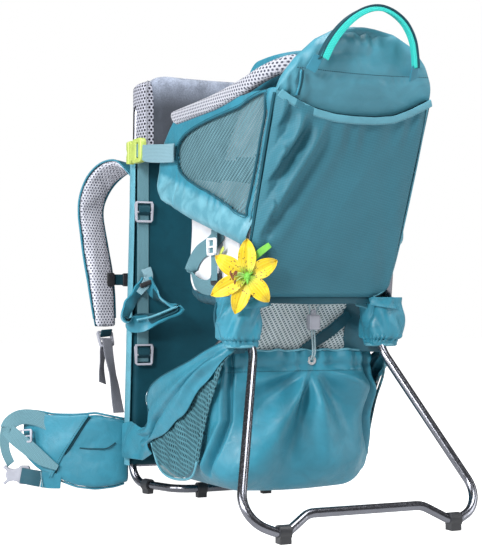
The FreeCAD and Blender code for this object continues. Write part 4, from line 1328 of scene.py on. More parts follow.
def make_bag():
    """The lower bag: a closed ring of cloth gathered by the drawcord, with its stitched channel."""
    count, rows = 260, 86
    rings = []
    floor_rows = 14
    low, reach = 36.0, 50.0
    for i in range(rows):
        if i < floor_rows:
            t = i / floor_rows
            inset, z = 130 - (130 - reach) * t, low + 0 * t
        else:
            t = (i - floor_rows) / (rows - 1 - floor_rows)
            turn = min(1.0, t / 0.34) * math.pi / 2
            inset = reach * (1 - math.sin(turn))
            z = low + reach * (1 - math.cos(turn)) if t < 0.34 else None
        ring = plan_ring(count, inset, 30)
        top = np.interp(ring[:, 1], *BAG_TOP)
        if z is None:
            zz = low + reach + (t - 0.34) / 0.66 * (top - low - reach)
        else:
            zz = np.full(count, z)
        rings.append(np.concatenate([ring, zz[:, None]], 1))
    points = np.array(rings)
    x, y, z = points[..., 0], points[..., 1], points[..., 2]
    centre = np.array((0.0, -30.0))
    out = points[..., :2] - centre
    out = unit(np.stack([np.sign(x) * np.abs(out[..., 0] / BAG_HALF_WIDTH) ** 3,
                         np.sign(out[..., 1]) * np.abs(out[..., 1] / 122) ** 3], -1))
    top = np.interp(y, *BAG_TOP)
    rear = ease(-100, -140, y)
    side_wall = 1 - rear
    height = np.clip((z - low) / (top - low), 0, 1)
    wall = ease(0.0, 0.12, height)
    belly = 7.0 * np.sin(np.pi * np.clip(height * 1.02, 0, 1)) ** 0.8 * np.clip(1 - (np.abs(x) / 150) ** 4, 0.35, 1)
    gx, gz = 13.0, 222.0
    angle = np.arctan2(x - gx, gz - z)
    radius = np.hypot(x - gx, gz - z)
    radial = (np.sin(angle * 7.0 + 0.8 * np.sin(angle * 3 + 1) - 0.4) * ease(10, 60, radius)
              * np.exp(-radius / 170) * 21.0)
    radial += 3.0 * np.sin(angle * 19.0 + 1.0) * ease(5, 22, radius) * np.exp(-radius / 38)
    radial *= ease(-1.5, -1.15, -np.abs(angle))
    hollow = -12.0 * np.exp(-((x + 74) / 36) ** 2 - ((z - 178) / 46) ** 2) + 5.0 * ridge(x - 92 + (z - 150) * 0.25, 22)
    radial += hollow * ease(0.12, 0.3, height)
    channel = -3.2 * ridge(z - (gz + 1 - 0.02 * np.abs(x - gx)), 2.2) * ease(1.0, 0.98, height)
    frill = (2.0 + 3.0 * ridge(x - 40, 45)) * np.sin(x * 0.21 + 1.6 * np.sin(x * 0.06)) * ease(0.78, 0.93, height)
    puff = 2.6 * ridge(z - 234, 8)
    creases = 2.4 * crumple(points, 130, 17) + 0.7 * crumple(points, 60, 4)
    side_fold = 3.5 * np.sin((y * 0.62 + z * 0.42) * 0.085) * side_wall * ease(0.1, 0.4, height) * ease(70, 20, y)
    side_fold *= ease(90, 120, np.abs(x))
    # a long fold runs from the top of each rear corner down to the foot of the side pocket
    fold_at = np.interp(z, [60, 97, 142, 203, 240], [-92, -118, -146, -152, -152]) + 30 * ease(128, 96, np.abs(x))
    corner_fold = -15.0 * ridge(y - fold_at, 5) + 8.0 * ridge(y - fold_at - 13, 8)
    corner_fold = corner_fold * ease(50, 75, z) * ease(92, 112, np.abs(x))
    flank = (5.0 * np.sin(np.pi * height) ** 0.8 * ease(100, 128, np.abs(x)) * ease(10, -80, y)
             * ease(-150, -120, y))
    amount = ((belly + creases + flank) * wall + (radial + channel + frill + puff) * rear * wall + side_fold
              + corner_fold)
    near_cord = ridge(x - gx, 16) * ridge(z - 234, 24)
    amount = amount * (1 - 0.8 * near_cord * rear)
    points[..., :2] += out * amount[..., None]
    points[..., 2] -= 2.5 * (1 - wall) * np.cos(x * 0.02)
    points[..., 2] += 1.4 * np.sin(x * 0.29 + 1.0) * ease(0.9, 1, height) * rear
    zip_up = [(k, k + 1, count - k - 1, count - k) for k in range(1, count // 2)]
    obj = add_object("lower_bag_shell", points.reshape(-1, 3), grid_faces(rows, count, wrap_v=True) + zip_up, "teal",
                     nodes=("lower_bag",))
    edit_mesh(obj, turn_faces_out)
    modify(obj, "SOLIDIFY", thickness=1.6 * MM, offset=-1.0)
    subdivide(obj)
    rear_at = [k for k in range(count) if abs(points[-6, k, 0]) < 122 and points[-6, k, 1] < -120]
    line = sorted((tuple(points[-10, k] + (0, -1.2, 0)) for k in rear_at), key=lambda p: p[0])
    stitches("lower_bag_channel_stitch", line[::3], "binding", size=0.42)
    cord_tube("lower_bag_rim", points[-1, ::4], 1.7, "teal_light", closed=True)


def make_side_pocket(side):
    """The stretch mesh pocket on the bag's side, its bound edges, and the gusset that draws over it."""
    sign = SIDES[side]
    v, u = uv_grid(34, 40)
    first = 66 - 196 * u
    top = np.interp(first, [-130, -88, -60, 30, 66], [204, 190, 178, 150, 128])
    low = np.interp(first, [-130, -100, -69, -5, 40, 66], [82, 62, 50, 48, 60, 86])
    z = low + v * (top - low)
    y = 66 + (np.interp(z, [80, 112, 165, 204], [-86, -94, -118, -140]) - 66) * u
    wall = 148 - (92 - y) * 0.082
    x = wall + 9.0 + 3.5 * np.sin(np.pi * v) * np.sin(np.pi * u)
    x += 2.4 * np.sin(y * 0.16 - z * 0.05) * np.sin(np.pi * u) * ease(0, 0.2, v) + 1.2 * np.sin(y * 0.05 + z * 0.13)
    points = stack(sign * x, y, z)[:, ::-sign]
    cloth(f"side_pocket_net_{side}", points, "net_pocket", nodes=once(sign, "side_mesh_pockets"))
    rear_edge = both([(118, -166, 249), (134, -156, 229), (138.5, -146, 204), (140, -120, 165), (142, -96, 112),
                      (143.5, -88, 80)], side)
    band(f"side_pocket_binding_{side}", rear_edge, (0.3 * sign, 0.9, 0.15), 9, 2.0, "net_pocket", crown=0.6)
    low_edge = both([(143, -87, 80), (144.5, -66, 54), (149.5, -5, 47), (152.5, 40, 58), (154, 66, 88),
                     (154, 76, 104)], side)
    cord_tube(f"side_pocket_piping_{side}", low_edge, 2.0, "teal_light")
    upper = smooth_path([(118, -168, 264), (132, -152, 256), (144, -120, 243), (150, -76, 227), (155, -20, 211),
                         (158, 24, 198), (157, 67, 181), (156, 83, 160), (154, 78, 138), (153, 92, 120),
                         (152, 135, 111)], 90)
    lower = smooth_path([(116, -168, 246), (133, -162, 231), (142, -141, 211), (146, -108, 189), (151, -72, 157),
                         (154, -38, 138), (156, -9, 120), (158, 30, 108), (158, 62, 96), (155, 100, 84)], 90)
    t, along = uv_grid(26, 90)
    plane = upper[None] * (1 - t[..., None]) + lower[None] * t[..., None]
    hang = np.sin(np.pi * t) ** 0.6
    swell = 8.0 * hang * (0.35 + 0.9 * ridge(along - 0.45, 0.28))
    folds = 4.4 * np.sin(t * 9.5 + along * 5.5 + 1.2 * np.sin(along * 7)) * hang * ease(0, 0.12, along)
    deep = -14.0 * ridge(t - 0.42 - 0.30 * along, 0.07) * ease(0.08, 0.2, along) * ease(1.0, 0.72, along)
    deep += 5.0 * ridge(t - 0.62 - 0.26 * along, 0.09) * ease(0.08, 0.2, along) * ease(1.0, 0.75, along)
    x = np.minimum(plane[..., 0] + swell + folds + deep, 163)
    z = plane[..., 2] + 2.0 * np.sin(along * 23) * ease(0.85, 1.0, t)
    points = stack(sign * x, plane[..., 1], z)[:, ::sign]
    cloth(f"side_gusset_{side}", points, "teal", thick=1.6)
    edge = both([(p[0] + 1.0, p[1], p[2]) for p in upper[:-6]], side)
    cord_tube(f"side_gusset_edge_{side}", edge[::5], 1.5, "binding")
    v, u = uv_grid(24, 34)
    y = 74 + u * (208 - 74)
    top = np.interp(u, [0, 0.25, 0.5, 0.75, 1], [116, 110, 122, 118, 112]) + 3 * np.sin(u * 9)
    low = np.interp(u, [0, 0.3, 1], [76, 62, 57])
    z = low + v * (top - low)
    x = 152 + 5.0 * np.sin(np.pi * v) + 3.4 * np.sin(u * 9 + v * 4) * ease(0, 0.2, v)
    cloth(f"hip_stabiliser_panel_{side}", stack(sign * x, y, z)[:, ::sign], "teal", thick=2.0,
          nodes=once(sign, "hip_stabilisers"))
    stitches(f"hip_stabiliser_stitch_{side}", both([(156, 80, 78), (157, 80, 94), (155, 82, 112)], side), "web_dark",
             out=(sign, 0, 0))


def make_rear_mesh():
    """The net panel between the cover and the bag, the strap across it and its side fills."""
    v, u = uv_grid(24, 44)
    x = -80 + 172 * u
    low = 238 + 2 * np.sin(u * 3)
    z = low + v * (324 - low)
    y = -137.5 - 3.0 * np.sin(np.pi * u) + 1.2 * np.sin(x * 0.09 + z * 0.05)
    cloth("rear_mesh_cloth", stack(x, y, z)[:, ::-1], "net_rear", thick=1.2, nodes=("rear_mesh_panel",))
    band("rear_mesh_strap", [(84, -142.5, 296), (52, -143.5, 272), (4, -144.5, 244)], (0.5, 0, 0.86), 15, 2.0,
         "teal_dark")
    band("rear_mesh_strap_edge", [(76, -144.5, 301), (46, -145.5, 279), (-4, -146, 246)], (0.5, 0, 0.86), 2.2, 1.2,
         "binding")
    for k, sign in enumerate((-1, 1)):
        v, u = uv_grid(20, 14)
        x = sign * (74 + 46 * u)
        z = 240 + 82 * v
        y = -140 - 26 * u ** 1.5 + 2.4 * np.sin(v * 9 + u * 4)
        cloth(f"rear_side_fill_{k}", stack(x, y, z)[:, ::-sign], "teal_dark", thick=1.4)


def make_hinge_sleeves():
    """Gathered fabric cuffs over the stand's hinges, with the cover's cloth running into them."""
    for side, sign in SIDES.items():
        v, u = uv_grid(64, 120)
        turn = 2 * np.pi * u
        height = 251 + v * 71
        cuff = ease(0.20, 0.06, v)
        hx = 26.5 + 2.0 * np.sin(np.pi * v) - 5.0 * cuff
        hy = 33.0 + 2.5 * np.sin(np.pi * v) - 12.0 * cuff
        cx = 118 - 4.0 * cuff - 4 * ease(0.6, 1, v)
        cy = -176 - 5.0 * cuff - 4.0 * ease(0.7, 1, v)
        cos, sin = np.cos(turn), np.sin(turn)
        solid = stack(cx + hx * cos, cy + hy * sin, height)
        lumps = 5.0 * np.maximum(crumple(solid, 46, 31 + sign), -0.35) * (1 - cuff) * ease(1.0, 0.85, v)
        lumps += 1.7 * np.sin(turn * 21) * ridge(v - 0.14, 0.06)
        lumps -= 2.6 * ridge(v - 0.125, 0.02)
        lumps -= 4.0 * ridge(u - 0.47 - 0.12 * v, 0.022) * ease(0.3, 0.4, v)
        lumps += 3.0 * np.sin(turn * 5 + v * 6 + sign) * ridge(v - 0.45, 0.3)
        x = cx + (hx + lumps) * np.sign(cos) * np.abs(cos) ** 0.66
        y = cy + (hy + lumps) * np.sign(sin) * np.abs(sin) ** 0.66
        points = stack(sign * x, y, height)[:, ::sign]
        cloth(f"hinge_sleeve_{side}", points, "teal", thick=1.6, nodes=once(sign, "hinge_sleeves"))
        ring = [(sign * (114 + 21.5 * math.cos(a)), -181 + 21.5 * math.sin(a), 252)
                for a in np.linspace(0, 2 * math.pi, 13)[:-1]]
        cord_tube(f"hinge_sleeve_hem_{side}", ring, 2.4, "teal_light", closed=True)
        skirt = both([(132, -136, 320), (139, -160, 316), (135, -190, 313), (122, -211, 312), (100, -214, 314),
                      (84, -204, 317)], side)
        band(f"hinge_sleeve_flap_{side}", skirt, (0, 0.1, 1), [22, 18, 15, 14, 14, 12], 1.8, "teal", crown=1.5,
             ripple=(1.8, 24))
        piping = both([(139, -150, 314), (143, -152, 298), (143, -156, 280), (138, -164, 262)], side)
        cord_tube(f"hinge_sleeve_piping_{side}", piping, 2.0, "binding")


GROMMET_X, GROMMET_Z = 13.0, 229.0
CORD_LOCK_X, CORD_LOCK_Y = 11.0, -160.0


def make_drawcord():
    """Two runs of elastic cord below the cord lock and two above it."""
    gx, gz, cx, cy = GROMMET_X, GROMMET_Z, CORD_LOCK_X, CORD_LOCK_Y
    for k in (-1, 1):
        low = [(gx + k * 1.4, -151.5, gz), (gx + k * 1.7, -156, gz + 4), (gx + k * 1.9, -160, gz + 14),
               (cx + k * 2.2, -160.5, 276)]
        cord = cord_tube(f"drawcord_low_{(k + 1) // 2}", low, 1.25, "cord", body=None, sides=10, pitch=2,
                         nodes=("drawcord",) if k < 0 else ())
        blend_over(cord)
        high = [(cx + k * 4.6, cy, 296), (cx + k * 6.4, cy - 2, 304), (cx + k * 11, cy - 8, 316),
                (cx + k * 14, cy - 9, 322)]
        cord = cord_tube(f"drawcord_high_{(k + 1) // 2}", high, 1.15, "cord", body=None, sides=10, pitch=2)
        blend_over(cord)


# ---------------------------------------------------------------- shoulder harness

STRAP_LINE = [(78, 254, 498), (92, 274, 534), (118, 303, 551), (147, 326, 532), (166, 333, 484), (161, 329, 420),
              (152, 319, 345), (147, 310, 270)]
STRAP_ACROSS = [(1, 0, 0), (1, -.15, .1), (.9, -.4, .25), (.85, -.5, .3), (.85, -.45, .1), (.9, -.35, 0), (.92, -.3, 0),
                (.95, -.25, 0)]
STRAP_WIDTHS = [54, 58, 60, 62, 62, 58, 52, 40]


SHOULDER_LOCK_AT = (147, 312, 252)
LIFTER_LOCK_AT = (100, 265.5, 555)


def make_shoulder(side):
    """A shoulder strap with its lock, webbing, load lifter and half of the chest strap."""
    sign, body = SIDES[side], f"shoulder_{side}"
    line, across = both(STRAP_LINE, side), both(STRAP_ACROSS, side)
    rows, columns = 90, 18
    path, wide, up = frame_along(line, across, rows)[:3]
    if (up[rows // 2] * (0, 1, 0)).sum() > 0:
        up = -up
    u = np.linspace(-1, 1, columns)[None, :, None]
    half = (spread_to(STRAP_WIDTHS, rows) / 2)[:, None, None]
    # up points to the carrier; the strap's face to the wearer is mesh and its outer side is nylon
    cup = -1.8 * (1 - u ** 2)
    middle = path[:, None] + wide[:, None] * u * half + up[:, None] * cup
    swell = np.broadcast_to((5.6 * (1 - 0.25 * u[..., 0] ** 2)), (rows, columns))
    obj = pillow(f"shoulder_pad_{side}", middle, swell, swell, 8.0, "mesh_strap", body=body,
                 nodes=(f"shoulder_strap_{side}",))
    inflate(obj, 4.5, 2.6, 3.2, seams=lambda p: 0.8 * ridge(p[:, 2] - 292, 5) + 0.6 * ridge(p[:, 2] - 470, 4)
            * ridge(p[:, 0] * sign - 150, 18))
    cloth(f"shoulder_cover_{side}", path[::2, None] + wide[::2, None] * u * (half[::2] + 0.8)
          - up[::2, None] * (7.4 - 5.2 * np.abs(u) ** 3), "teal", body=body, thick=1.6)
    for k, edge in enumerate((-1, 1)):
        line_edge = path + wide * edge * (half[:, 0] + 0.6) - up * 1.6
        cord_tube(f"shoulder_binding_{side}_{k}", line_edge[::5], 1.7, "teal", body=body)
    lower = both([(147, 305, 268), (147.4, 309, 262), (147.6, 313, 256)], side)
    band(f"shoulder_lock_tab_{side}", lower, both((0.96, -0.24, 0), side), 21, 3.0, "web_dark", body=body)
    frame_up = ((0, 0, 0), "X", -20), ((0, 0, 0), "Z", -14 * sign)
    lock = lock_frame(f"shoulder_lock_{side}", (0, 0, 0), 31, 28, 5, "grey", body, turns=frame_up,
                      nodes=(f"strap_ladder_lock_{side}",))
    lock.location = [c * MM for c in both(SHOULDER_LOCK_AT, side)]
    tails = both([(147, 307, 252), (147.5, 300, 242), (148.5, 289, 222), (148, 280, 205), (146.5, 268, 178),
                  (145.5, 259, 150), (144, 252, 128)], side)
    strap = band(f"shoulder_webbing_{side}", tails, both([(0.93, -0.3, 0.1), (0.9, -0.4, 0.1), (0.75, -0.62, 0.1),
                 (0.9, -0.4, 0.1), (0.96, -0.2, 0.1)], side), [21, 21, 21, 22, 22, 22], 1.8, "web_grey",
                 nodes=once(sign, "shoulder_webbing"))
    blend_over(strap)
    band(f"shoulder_tail_{side}", both([(147, 316, 246), (150, 318, 228), (154, 312, 200), (156, 302, 176)], side),
                both([(0.86, -0.45, 0.2), (0.6, -0.75, 0.2), (0.8, -0.6, 0)], side), 20, 1.6, "web_grey", body=body)
    lifter = both([(99, 268, 545), (101, 258, 574), (102.5, 251, 600), (102, 246, 632)], side)
    lift = band(f"load_lifter_{side}", lifter, (1, 0, 0), 20, 1.8, "web_dark", nodes=once(sign, "load_lifters"))
    blend_over(lift)
    at = both(LIFTER_LOCK_AT, side)
    lock_frame(f"load_lifter_lock_{side}", at, 26, 20, 4, "black", body, turns=((at, "X", 19),))
    chest = f"chest_{side}"
    x0, x1 = sorted((sign * 95.4, sign * 112.6))
    hole0, hole1 = sorted((sign * 98.5, sign * 102.5))
    slab(f"chest_buckle_shell_{side}", rounded((x0, 343.5), (x1, 366.5), 4.0), 318.4, 326.6, "black", body=chest,
         bevel=1.6, nodes=(f"chest_buckle_{side}",), holes=[((hole0, 310, 350), (hole1, 335, 360))])
    band(f"chest_webbing_{side}", both([(111, 321.6, 355), (121, 321, 355), (130, 320.2, 355)], side), (0, 0, 1), 19,
         2.0, "web_dark", body=chest)
    slab(f"chest_slider_{side}", rounded((sign * 136 - 7, 343), (sign * 136 + 7, 367), 3), 315.5, 321.5, "black",
         body=chest, bevel=1.2)


# ---------------------------------------------------------------- hip belt

FIN_LINE = [(130, 236, 68), (150, 239, 68), (184, 250, 68), (220, 272, 72), (252, 300, 77), (282, 336, 84)]
FIN_TOP = ([0, 0.15, 0.3, 0.5, 0.7, 0.88, 0.96, 1], [118, 124, 130, 127, 127, 132, 130, 122])
FIN_LOW = ([0, 0.15, 0.32, 0.5, 0.68, 0.85, 1], [12, 4, 1, 5, 17, 36, 58])
FIN_THICK = ([0, 0.3, 0.7, 1], [8.5, 9.5, 8.0, 5.0])
FIN_SEAM_Z = 66.0


def make_hip(side):
    """A hip fin with its outer flap, webbing loop, slider and buckle half."""
    sign, body = SIDES[side], f"hip_{side}"
    line = both(FIN_LINE, side)
    rows, columns = 60, 30
    path, _, up = frame_along(line, (0, 0, 1), rows)[:3]
    up = unit(up * (1, 1, 0))
    if (up[30] * (0, 1, 0)).sum() > 0:
        up = -up
    t = np.linspace(0, 1, rows)
    top, low = np.interp(t, *FIN_TOP), np.interp(t, *FIN_LOW)
    v = np.linspace(0, 1, columns)[None, :]
    z = low[:, None] + v * (top - low)[:, None]
    middle = np.stack([np.tile(path[:, :1], (1, columns)), np.tile(path[:, 1:2], (1, columns)), z], -1)
    thick = np.interp(t, *FIN_THICK)[:, None] * np.ones((1, columns))
    n = normals(middle)
    flip = (n[30, 15] * up[30]).sum() < 0
    grid = middle[:, ::-1] if flip else middle
    obj = pillow(f"hip_fin_pad_{side}", grid, thick, thick, 11.0, "teal", body=body, nodes=(f"hip_fin_{side}",))

    def sewn(p):
        along = np.hypot(p[:, 0] * sign - 150, p[:, 1] - 238)
        level = ridge(p[:, 2] - FIN_SEAM_Z - 0.05 * (along - 60), 3.2) * ease(6, 14, along) * ease(78, 62, along)
        tie = ridge(along - 40, 7) * ridge(p[:, 2] - FIN_SEAM_Z, 7)
        return np.clip(level + tie, 0, 1)

    inflate(obj, 4.5, 4.0, 6.5, seams=sewn)
    # the V-shaped flap sewn on the outer face, under which the webbing pulls
    s, w = uv_grid(34, 26)
    right = 0.34 + 0.34 * (1 - w) + 0.03 * np.sin(w * 3.1)
    at = 0.985 + (right - 0.985) * s
    base_x, base_y = np.interp(at, t, path[:, 0]), np.interp(at, t, path[:, 1])
    up_x, up_y = np.interp(at, t, up[:, 0]), np.interp(at, t, up[:, 1])
    flap_top = np.interp(at, *FIN_TOP) - 1
    flap_low = np.interp(at, *FIN_LOW) + 3
    fz = flap_low + w * (flap_top - flap_low)
    lift = np.interp(at, *FIN_THICK) + 7.0 - 3.0 * ridge(s, 0.10)
    lift += 1.6 * np.sin(s * 6 - w * 7) * np.sin(np.pi * w)
    points = stack(base_x + up_x * lift, base_y + up_y * lift, fz)
    cloth(f"hip_flap_{side}", points if (normals(points)[17, 13] * (up_x[17, 13], up_y[17, 13], 0)).sum() > 0
          else points[:, ::-1], "teal", body=body, thick=1.6)
    shadow = points[-1] + np.stack([-sign * 3.4 + 0 * fz[-1], 3.0 + 0 * fz[-1], 0 * fz[-1]], 1)
    cord_tube(f"hip_flap_shadow_{side}", shadow[::3], 2.6, "web_dark", body=body)
    stitches(f"hip_flap_stitch_{side}", points[-1, ::4] + (sign * 5.0, -1.4, 0), "web_dark", body=body)
    gather = both([(158, 228, 80), (172, 232, 71), (186, 238, 70), (200, 247, 70), (212, 255, 71)], side)
    cord_tube(f"hip_gather_{side}", gather, 1.2, "web_dark", body=body)
    for k, rim_z in enumerate((top - 1, low + 1)):
        piping = np.stack([path[:, 0], path[:, 1], rim_z], 1)[3:-3:5]
        cord_tube(f"hip_piping_{side}_{k}", piping, 1.8, "teal", body=body)
    loop = both([(256, 286, 112), (278, 300, 121), (300, 318, 120), (317, 328, 104), (309, 314, 90), (290, 299, 72),
                 (268, 283, 52), (246, 269, 38)], side)
    twist = both([(0, 0, 1), (0.1, 0, 1), (0.3, 0.1, 0.9), (0.1, 0.5, 0.8), (-0.54, -0.15, 0.78), (-0.54, -0.15, 0.78),
                  (-0.54, -0.15, 0.78), (-0.54, -0.15, 0.78)], side)
    band(f"hip_webbing_loop_{side}", loop, twist, [26, 26, 25, 25, 26, 26, 22, 9], 1.8, "web", body=body,
         nodes=(f"hip_webbing_{side}",), pitch=4)
    tail = both([(318, 331, 104), (321, 331, 84), (319, 328, 62), (312, 320, 42)], side)
    band(f"hip_webbing_tail_{side}", tail, both((0.35, 0.9, 0), side), [25, 26, 25, 24], 1.6, "web", body=body)
    slider = lock_frame(f"hip_slider_{side}", (0, 0, 0), 24, 23, 3.6, "grey", body,
                        turns=(((0, 0, 0), "Z", 40 * sign), ((0, 0, 0), "X", -8)))
    slider.location = (sign * 291 * MM, 304 * MM, 90 * MM)
    lead = both([(268, 292, 18), (284, 300, 21), (298, 309, 24)], side)
    band(f"hip_buckle_web_{side}", lead, (0, 0, 1), [27, 27, 26], 2.6, "teal_dark", body=body)
    tab = both([(238, 276, 14), (254, 284, 16), (268, 291, 18)], side)
    band(f"hip_buckle_tab_{side}", tab, both((0.25, 0, 1), side), [24, 28, 28], 2.2, "teal", body=body)
    tab_edge = both([(266, 287.5, 4), (268, 288.5, 18), (269, 289, 31)], side)
    cord_tube(f"hip_buckle_tab_edge_{side}", tab_edge, 1.0, "web_pale", body=body)
    # side-release buckle: a body with two arms and a slotted bar
    shape = [(-23, 13), (-19, 16.5), (-13, 11), (-5, 9.5), (2, 11.5), (6, 15.5), (20, 15.5), (23, 12), (23, -12),
             (20, -15.5), (6, -15.5), (2, -11.5), (-5, -9.5), (-13, -11), (-19, -16.5), (-23, -13), (-16, -7), (-19, 0),
             (-16, 7)]
    outline = [(sign * -x, z) for x, z in shape]
    hole_low, hole_high = sorted((sign * -17.0, sign * -10.0))
    buckle = slab(f"hip_buckle_shell_{side}", outline, -4.5, 4.5, "grey", body=body, bevel=1.8,
                  holes=[((hole_low, -8, -10.5), (hole_high, 8, 10.5))], turns=(((0, 0, 0), "Z", 25 * sign),),
                  nodes=(f"hip_buckle_{side}",))
    buckle.location = (sign * 303 * MM, 317 * MM, 24 * MM)


# ---------------------------------------------------------------- side entry buckles and foot loops

ENTRY_X, ENTRY_Z = 146.0, 563.0


def make_entry(side):
    """A side entry buckle, its strap and the strap's fold on the wall."""
    sign, body = SIDES[side], f"entry_{side}"
    x, z = ENTRY_X, ENTRY_Z
    low, high = sorted((sign * (x - 5.6), sign * (x + 5.6)))
    # the socket half: a rounded body with a wide slot for its webbing
    socket = rounded((130, z - 20), (173, z + 20), 9)
    slab(f"entry_buckle_shell_{side}", socket, low, high, "lime", body=body, bevel=2.4, axes="yz",
                 holes=[((sign * x - 20, 142, z - 13), (sign * x + 20, 155, z + 13))], nodes=(f"entry_buckle_{side}",))
    waist = [(172, z + 15), (178, z + 13), (183, z + 18.5), (186, z + 20), (186, z - 20), (183, z - 18.5),
             (178, z - 13), (172, z - 15)]
    slab(f"entry_buckle_mouth_{side}", waist, *sorted((sign * (x - 4.6), sign * (x + 4.6))), "lime", body=body,
         bevel=1.6, axes="yz")
    tab = [(186.8, z + 19), (197.6, z + 18), (198, z + 6), (193.5, z), (198, z - 6), (197.6, z - 18),
           (186.8, z - 19)]
    slab(f"entry_tab_{side}", tab, low, high, "lime", bevel=1.6, axes="yz", nodes=once(sign, "entry_tabs"))
    weave = both([(x + 0.5, 140, z), (x + 4.0, 148.5, z), (x + 0.5, 157, z)], side)
    band(f"entry_buckle_bar_{side}", weave, (0, 0, 1), 22, 2.4, "web", body=body)
    run = both([(x + 1, 132, z - 4), (x + 2.0, 120, z - 7), (x + 2.4, 98, z - 10), (x + 3.0, 70, z - 13),
                (x + 3.0, 40, z - 16), (x + 1.5, 14, z - 18), (x - 0.5, -2, z - 19)], side)
    strap = band(f"entry_strap_{side}", run, (0, 0, 1), [24, 28, 29, 29, 29, 29, 29], 2.0, "web_pale", pitch=4,
                 nodes=once(sign, "entry_straps"))
    blend_over(strap)
    fold = both([(x + 1.0, -1, z - 32), (x + 1.8, -1, z - 19), (x + 1.0, -1, z - 6)], side)
    band(f"entry_strap_fold_{side}", fold, (0, 1, 0.1), 6, 1.2, "web_pale")


STIRRUP_X = 121
STIRRUP_LOCKS_Z = (466, 228)


def make_stirrup(side):
    """A foot loop on its webbing, with two ladder locks."""
    sign, body = SIDES[side], f"stirrup_{side}"
    x = sign * STIRRUP_X
    band(f"stirrup_webbing_{side}", [(x, 198, 216), (x, 198, 400), (x, 198, 555)], (1, 0, 0), 20, 1.8, "web",
         nodes=once(sign, "stirrup_webbing"))
    for k, lock_z in enumerate(STIRRUP_LOCKS_Z):
        lock_frame(f"stirrup_lock_{side}_{k}", (x, 193.2, lock_z), 33, 35, 4.6, "grey", FRAME,
                   nodes=("stirrup_locks",) if sign > 0 and k == 0 else ())
        threaded = [(x, 196.6, lock_z + 13), (x, 189.8, lock_z + 6), (x, 189.6, lock_z + 1), (x, 196.6, lock_z - 5)]
        band(f"stirrup_lock_web_{side}_{k}", threaded, (1, 0, 0), 20, 1.8, "web_dark")
    # a loose triangle of doubled webbing that hangs open for the child's foot
    loop = [(116, 188, 356), (112, 184, 340), (104, 178, 326), (88, 164, 312), (73, 152, 305), (80, 153, 298),
            (100, 163, 290), (120, 172, 282), (138, 178, 279), (151, 182, 279), (157, 184, 286), (157, 186, 296),
            (150, 189, 308), (139, 191, 324), (128, 191, 340), (121, 190, 354)]
    lean = [(0.5, 0.8, 0.3), (0.45, 0.8, 0.4), (0.5, 0.8, 0.4), (0.2, 0.9, 0.4), (0.3, 0.9, 0.3), (0.05, 0.95, 0.3),
            (0.05, 0.95, 0.3), (0.1, 0.9, 0.4), (0.2, 0.6, 0.8), (0.2, -0.1, 1.0), (0.5, -0.5, 0.6), (0.7, -0.6, 0.2),
            (0.8, -0.5, 0.3), (0.8, -0.5, 0.3), (0.9, -0.4, 0.2), (0.9, -0.4, 0.2)]
    widths = [16, 20, 23, 22, 20, 20, 21, 22, 25, 28, 28, 26, 24, 22, 20, 16]
    band(f"stirrup_strap_{side}", both(loop, side), both(lean, side), widths, 3.2, "teal", body=body, crown=1.0,
         ripple=(1.2, 31), nodes=(f"stirrup_loop_{side}",), pitch=3)
    # painted shade: the doubled strap's inner layer, coloured dark for the deep shade on the loop's inner edges
    inner = [(x + 0.10 * (118 - x), y + 3.0, z + 0.13 * (318 - z)) for x, y, z in loop]
    band(f"stirrup_shaded_inner_{side}", both(inner, side), both(lean, side), [w * 0.9 for w in widths], 1.6, "web_dark",
         body=body)
    edge = both([(80, 148, 308), (100, 156, 299), (122, 165, 290), (142, 171, 286)], side)
    cord_tube(f"stirrup_edge_{side}", edge, 2.0, "teal_light", body=body)
    tongue = both([(118, 192, 372), (115, 187, 358), (122, 184, 344), (134, 182, 330)], side)
    turned = both([(1, 0.1, 0.2), (0.9, 0.1, 0.4), (0.8, 0.1, 0.5), (0.7, 0.2, 0.6)], side)
    band(f"stirrup_tongue_{side}", tongue, turned, [18, 17, 14, 10], 1.6, "web_pale", body=body, ripple=(1.0, 15))
    slab(f"stirrup_slider_{side}", rounded((x - 12, 342), (x + 12, 350), 3), 180, 184.6, "black", body=body,
         bevel=1.2, turns=(((x, 184, 346), "Y", 20 * sign),))


def make_compression():
    """A small ladder lock and strap on each side of the bag."""
    for side, sign in SIDES.items():
        y, z = 184, 155
        low, high = sorted((sign * 113.2, sign * 116.8))
        ring = rounded((y - 9.8, z - 11.8), (y + 9.8, z + 11.8), 7)
        slab(f"compression_lock_{side}", ring, low, high, "white", bevel=1.3, axes="yz",
             holes=[((sign * 115 - 9, y - 6, z - 7.6), (sign * 115 + 9, y - 1.4, z + 7.6)),
                    ((sign * 115 - 9, y + 1.4, z - 7.6), (sign * 115 + 9, y + 6, z + 7.6))],
             nodes=once(sign, "compression_locks"))
        band(f"compression_web_{side}", [(sign * 115.5, 199, 155), (sign * 117.5, 188, 155), (sign * 117, 180, 155),
                                         (sign * 122, 150, 150), (sign * 140, 100, 143)], (0, 0, 1), 12, 1.4, "web")


# ---------------------------------------------------------------- flower clip

FLOWER_AT = (-126.0, -225.0, 350.0)
FLOWER_TURN = math.radians(25)
PETAL_LENGTHS = {90: 50, 25: 45, -46: 44, -108: 52, -155: 54, 150: 50}


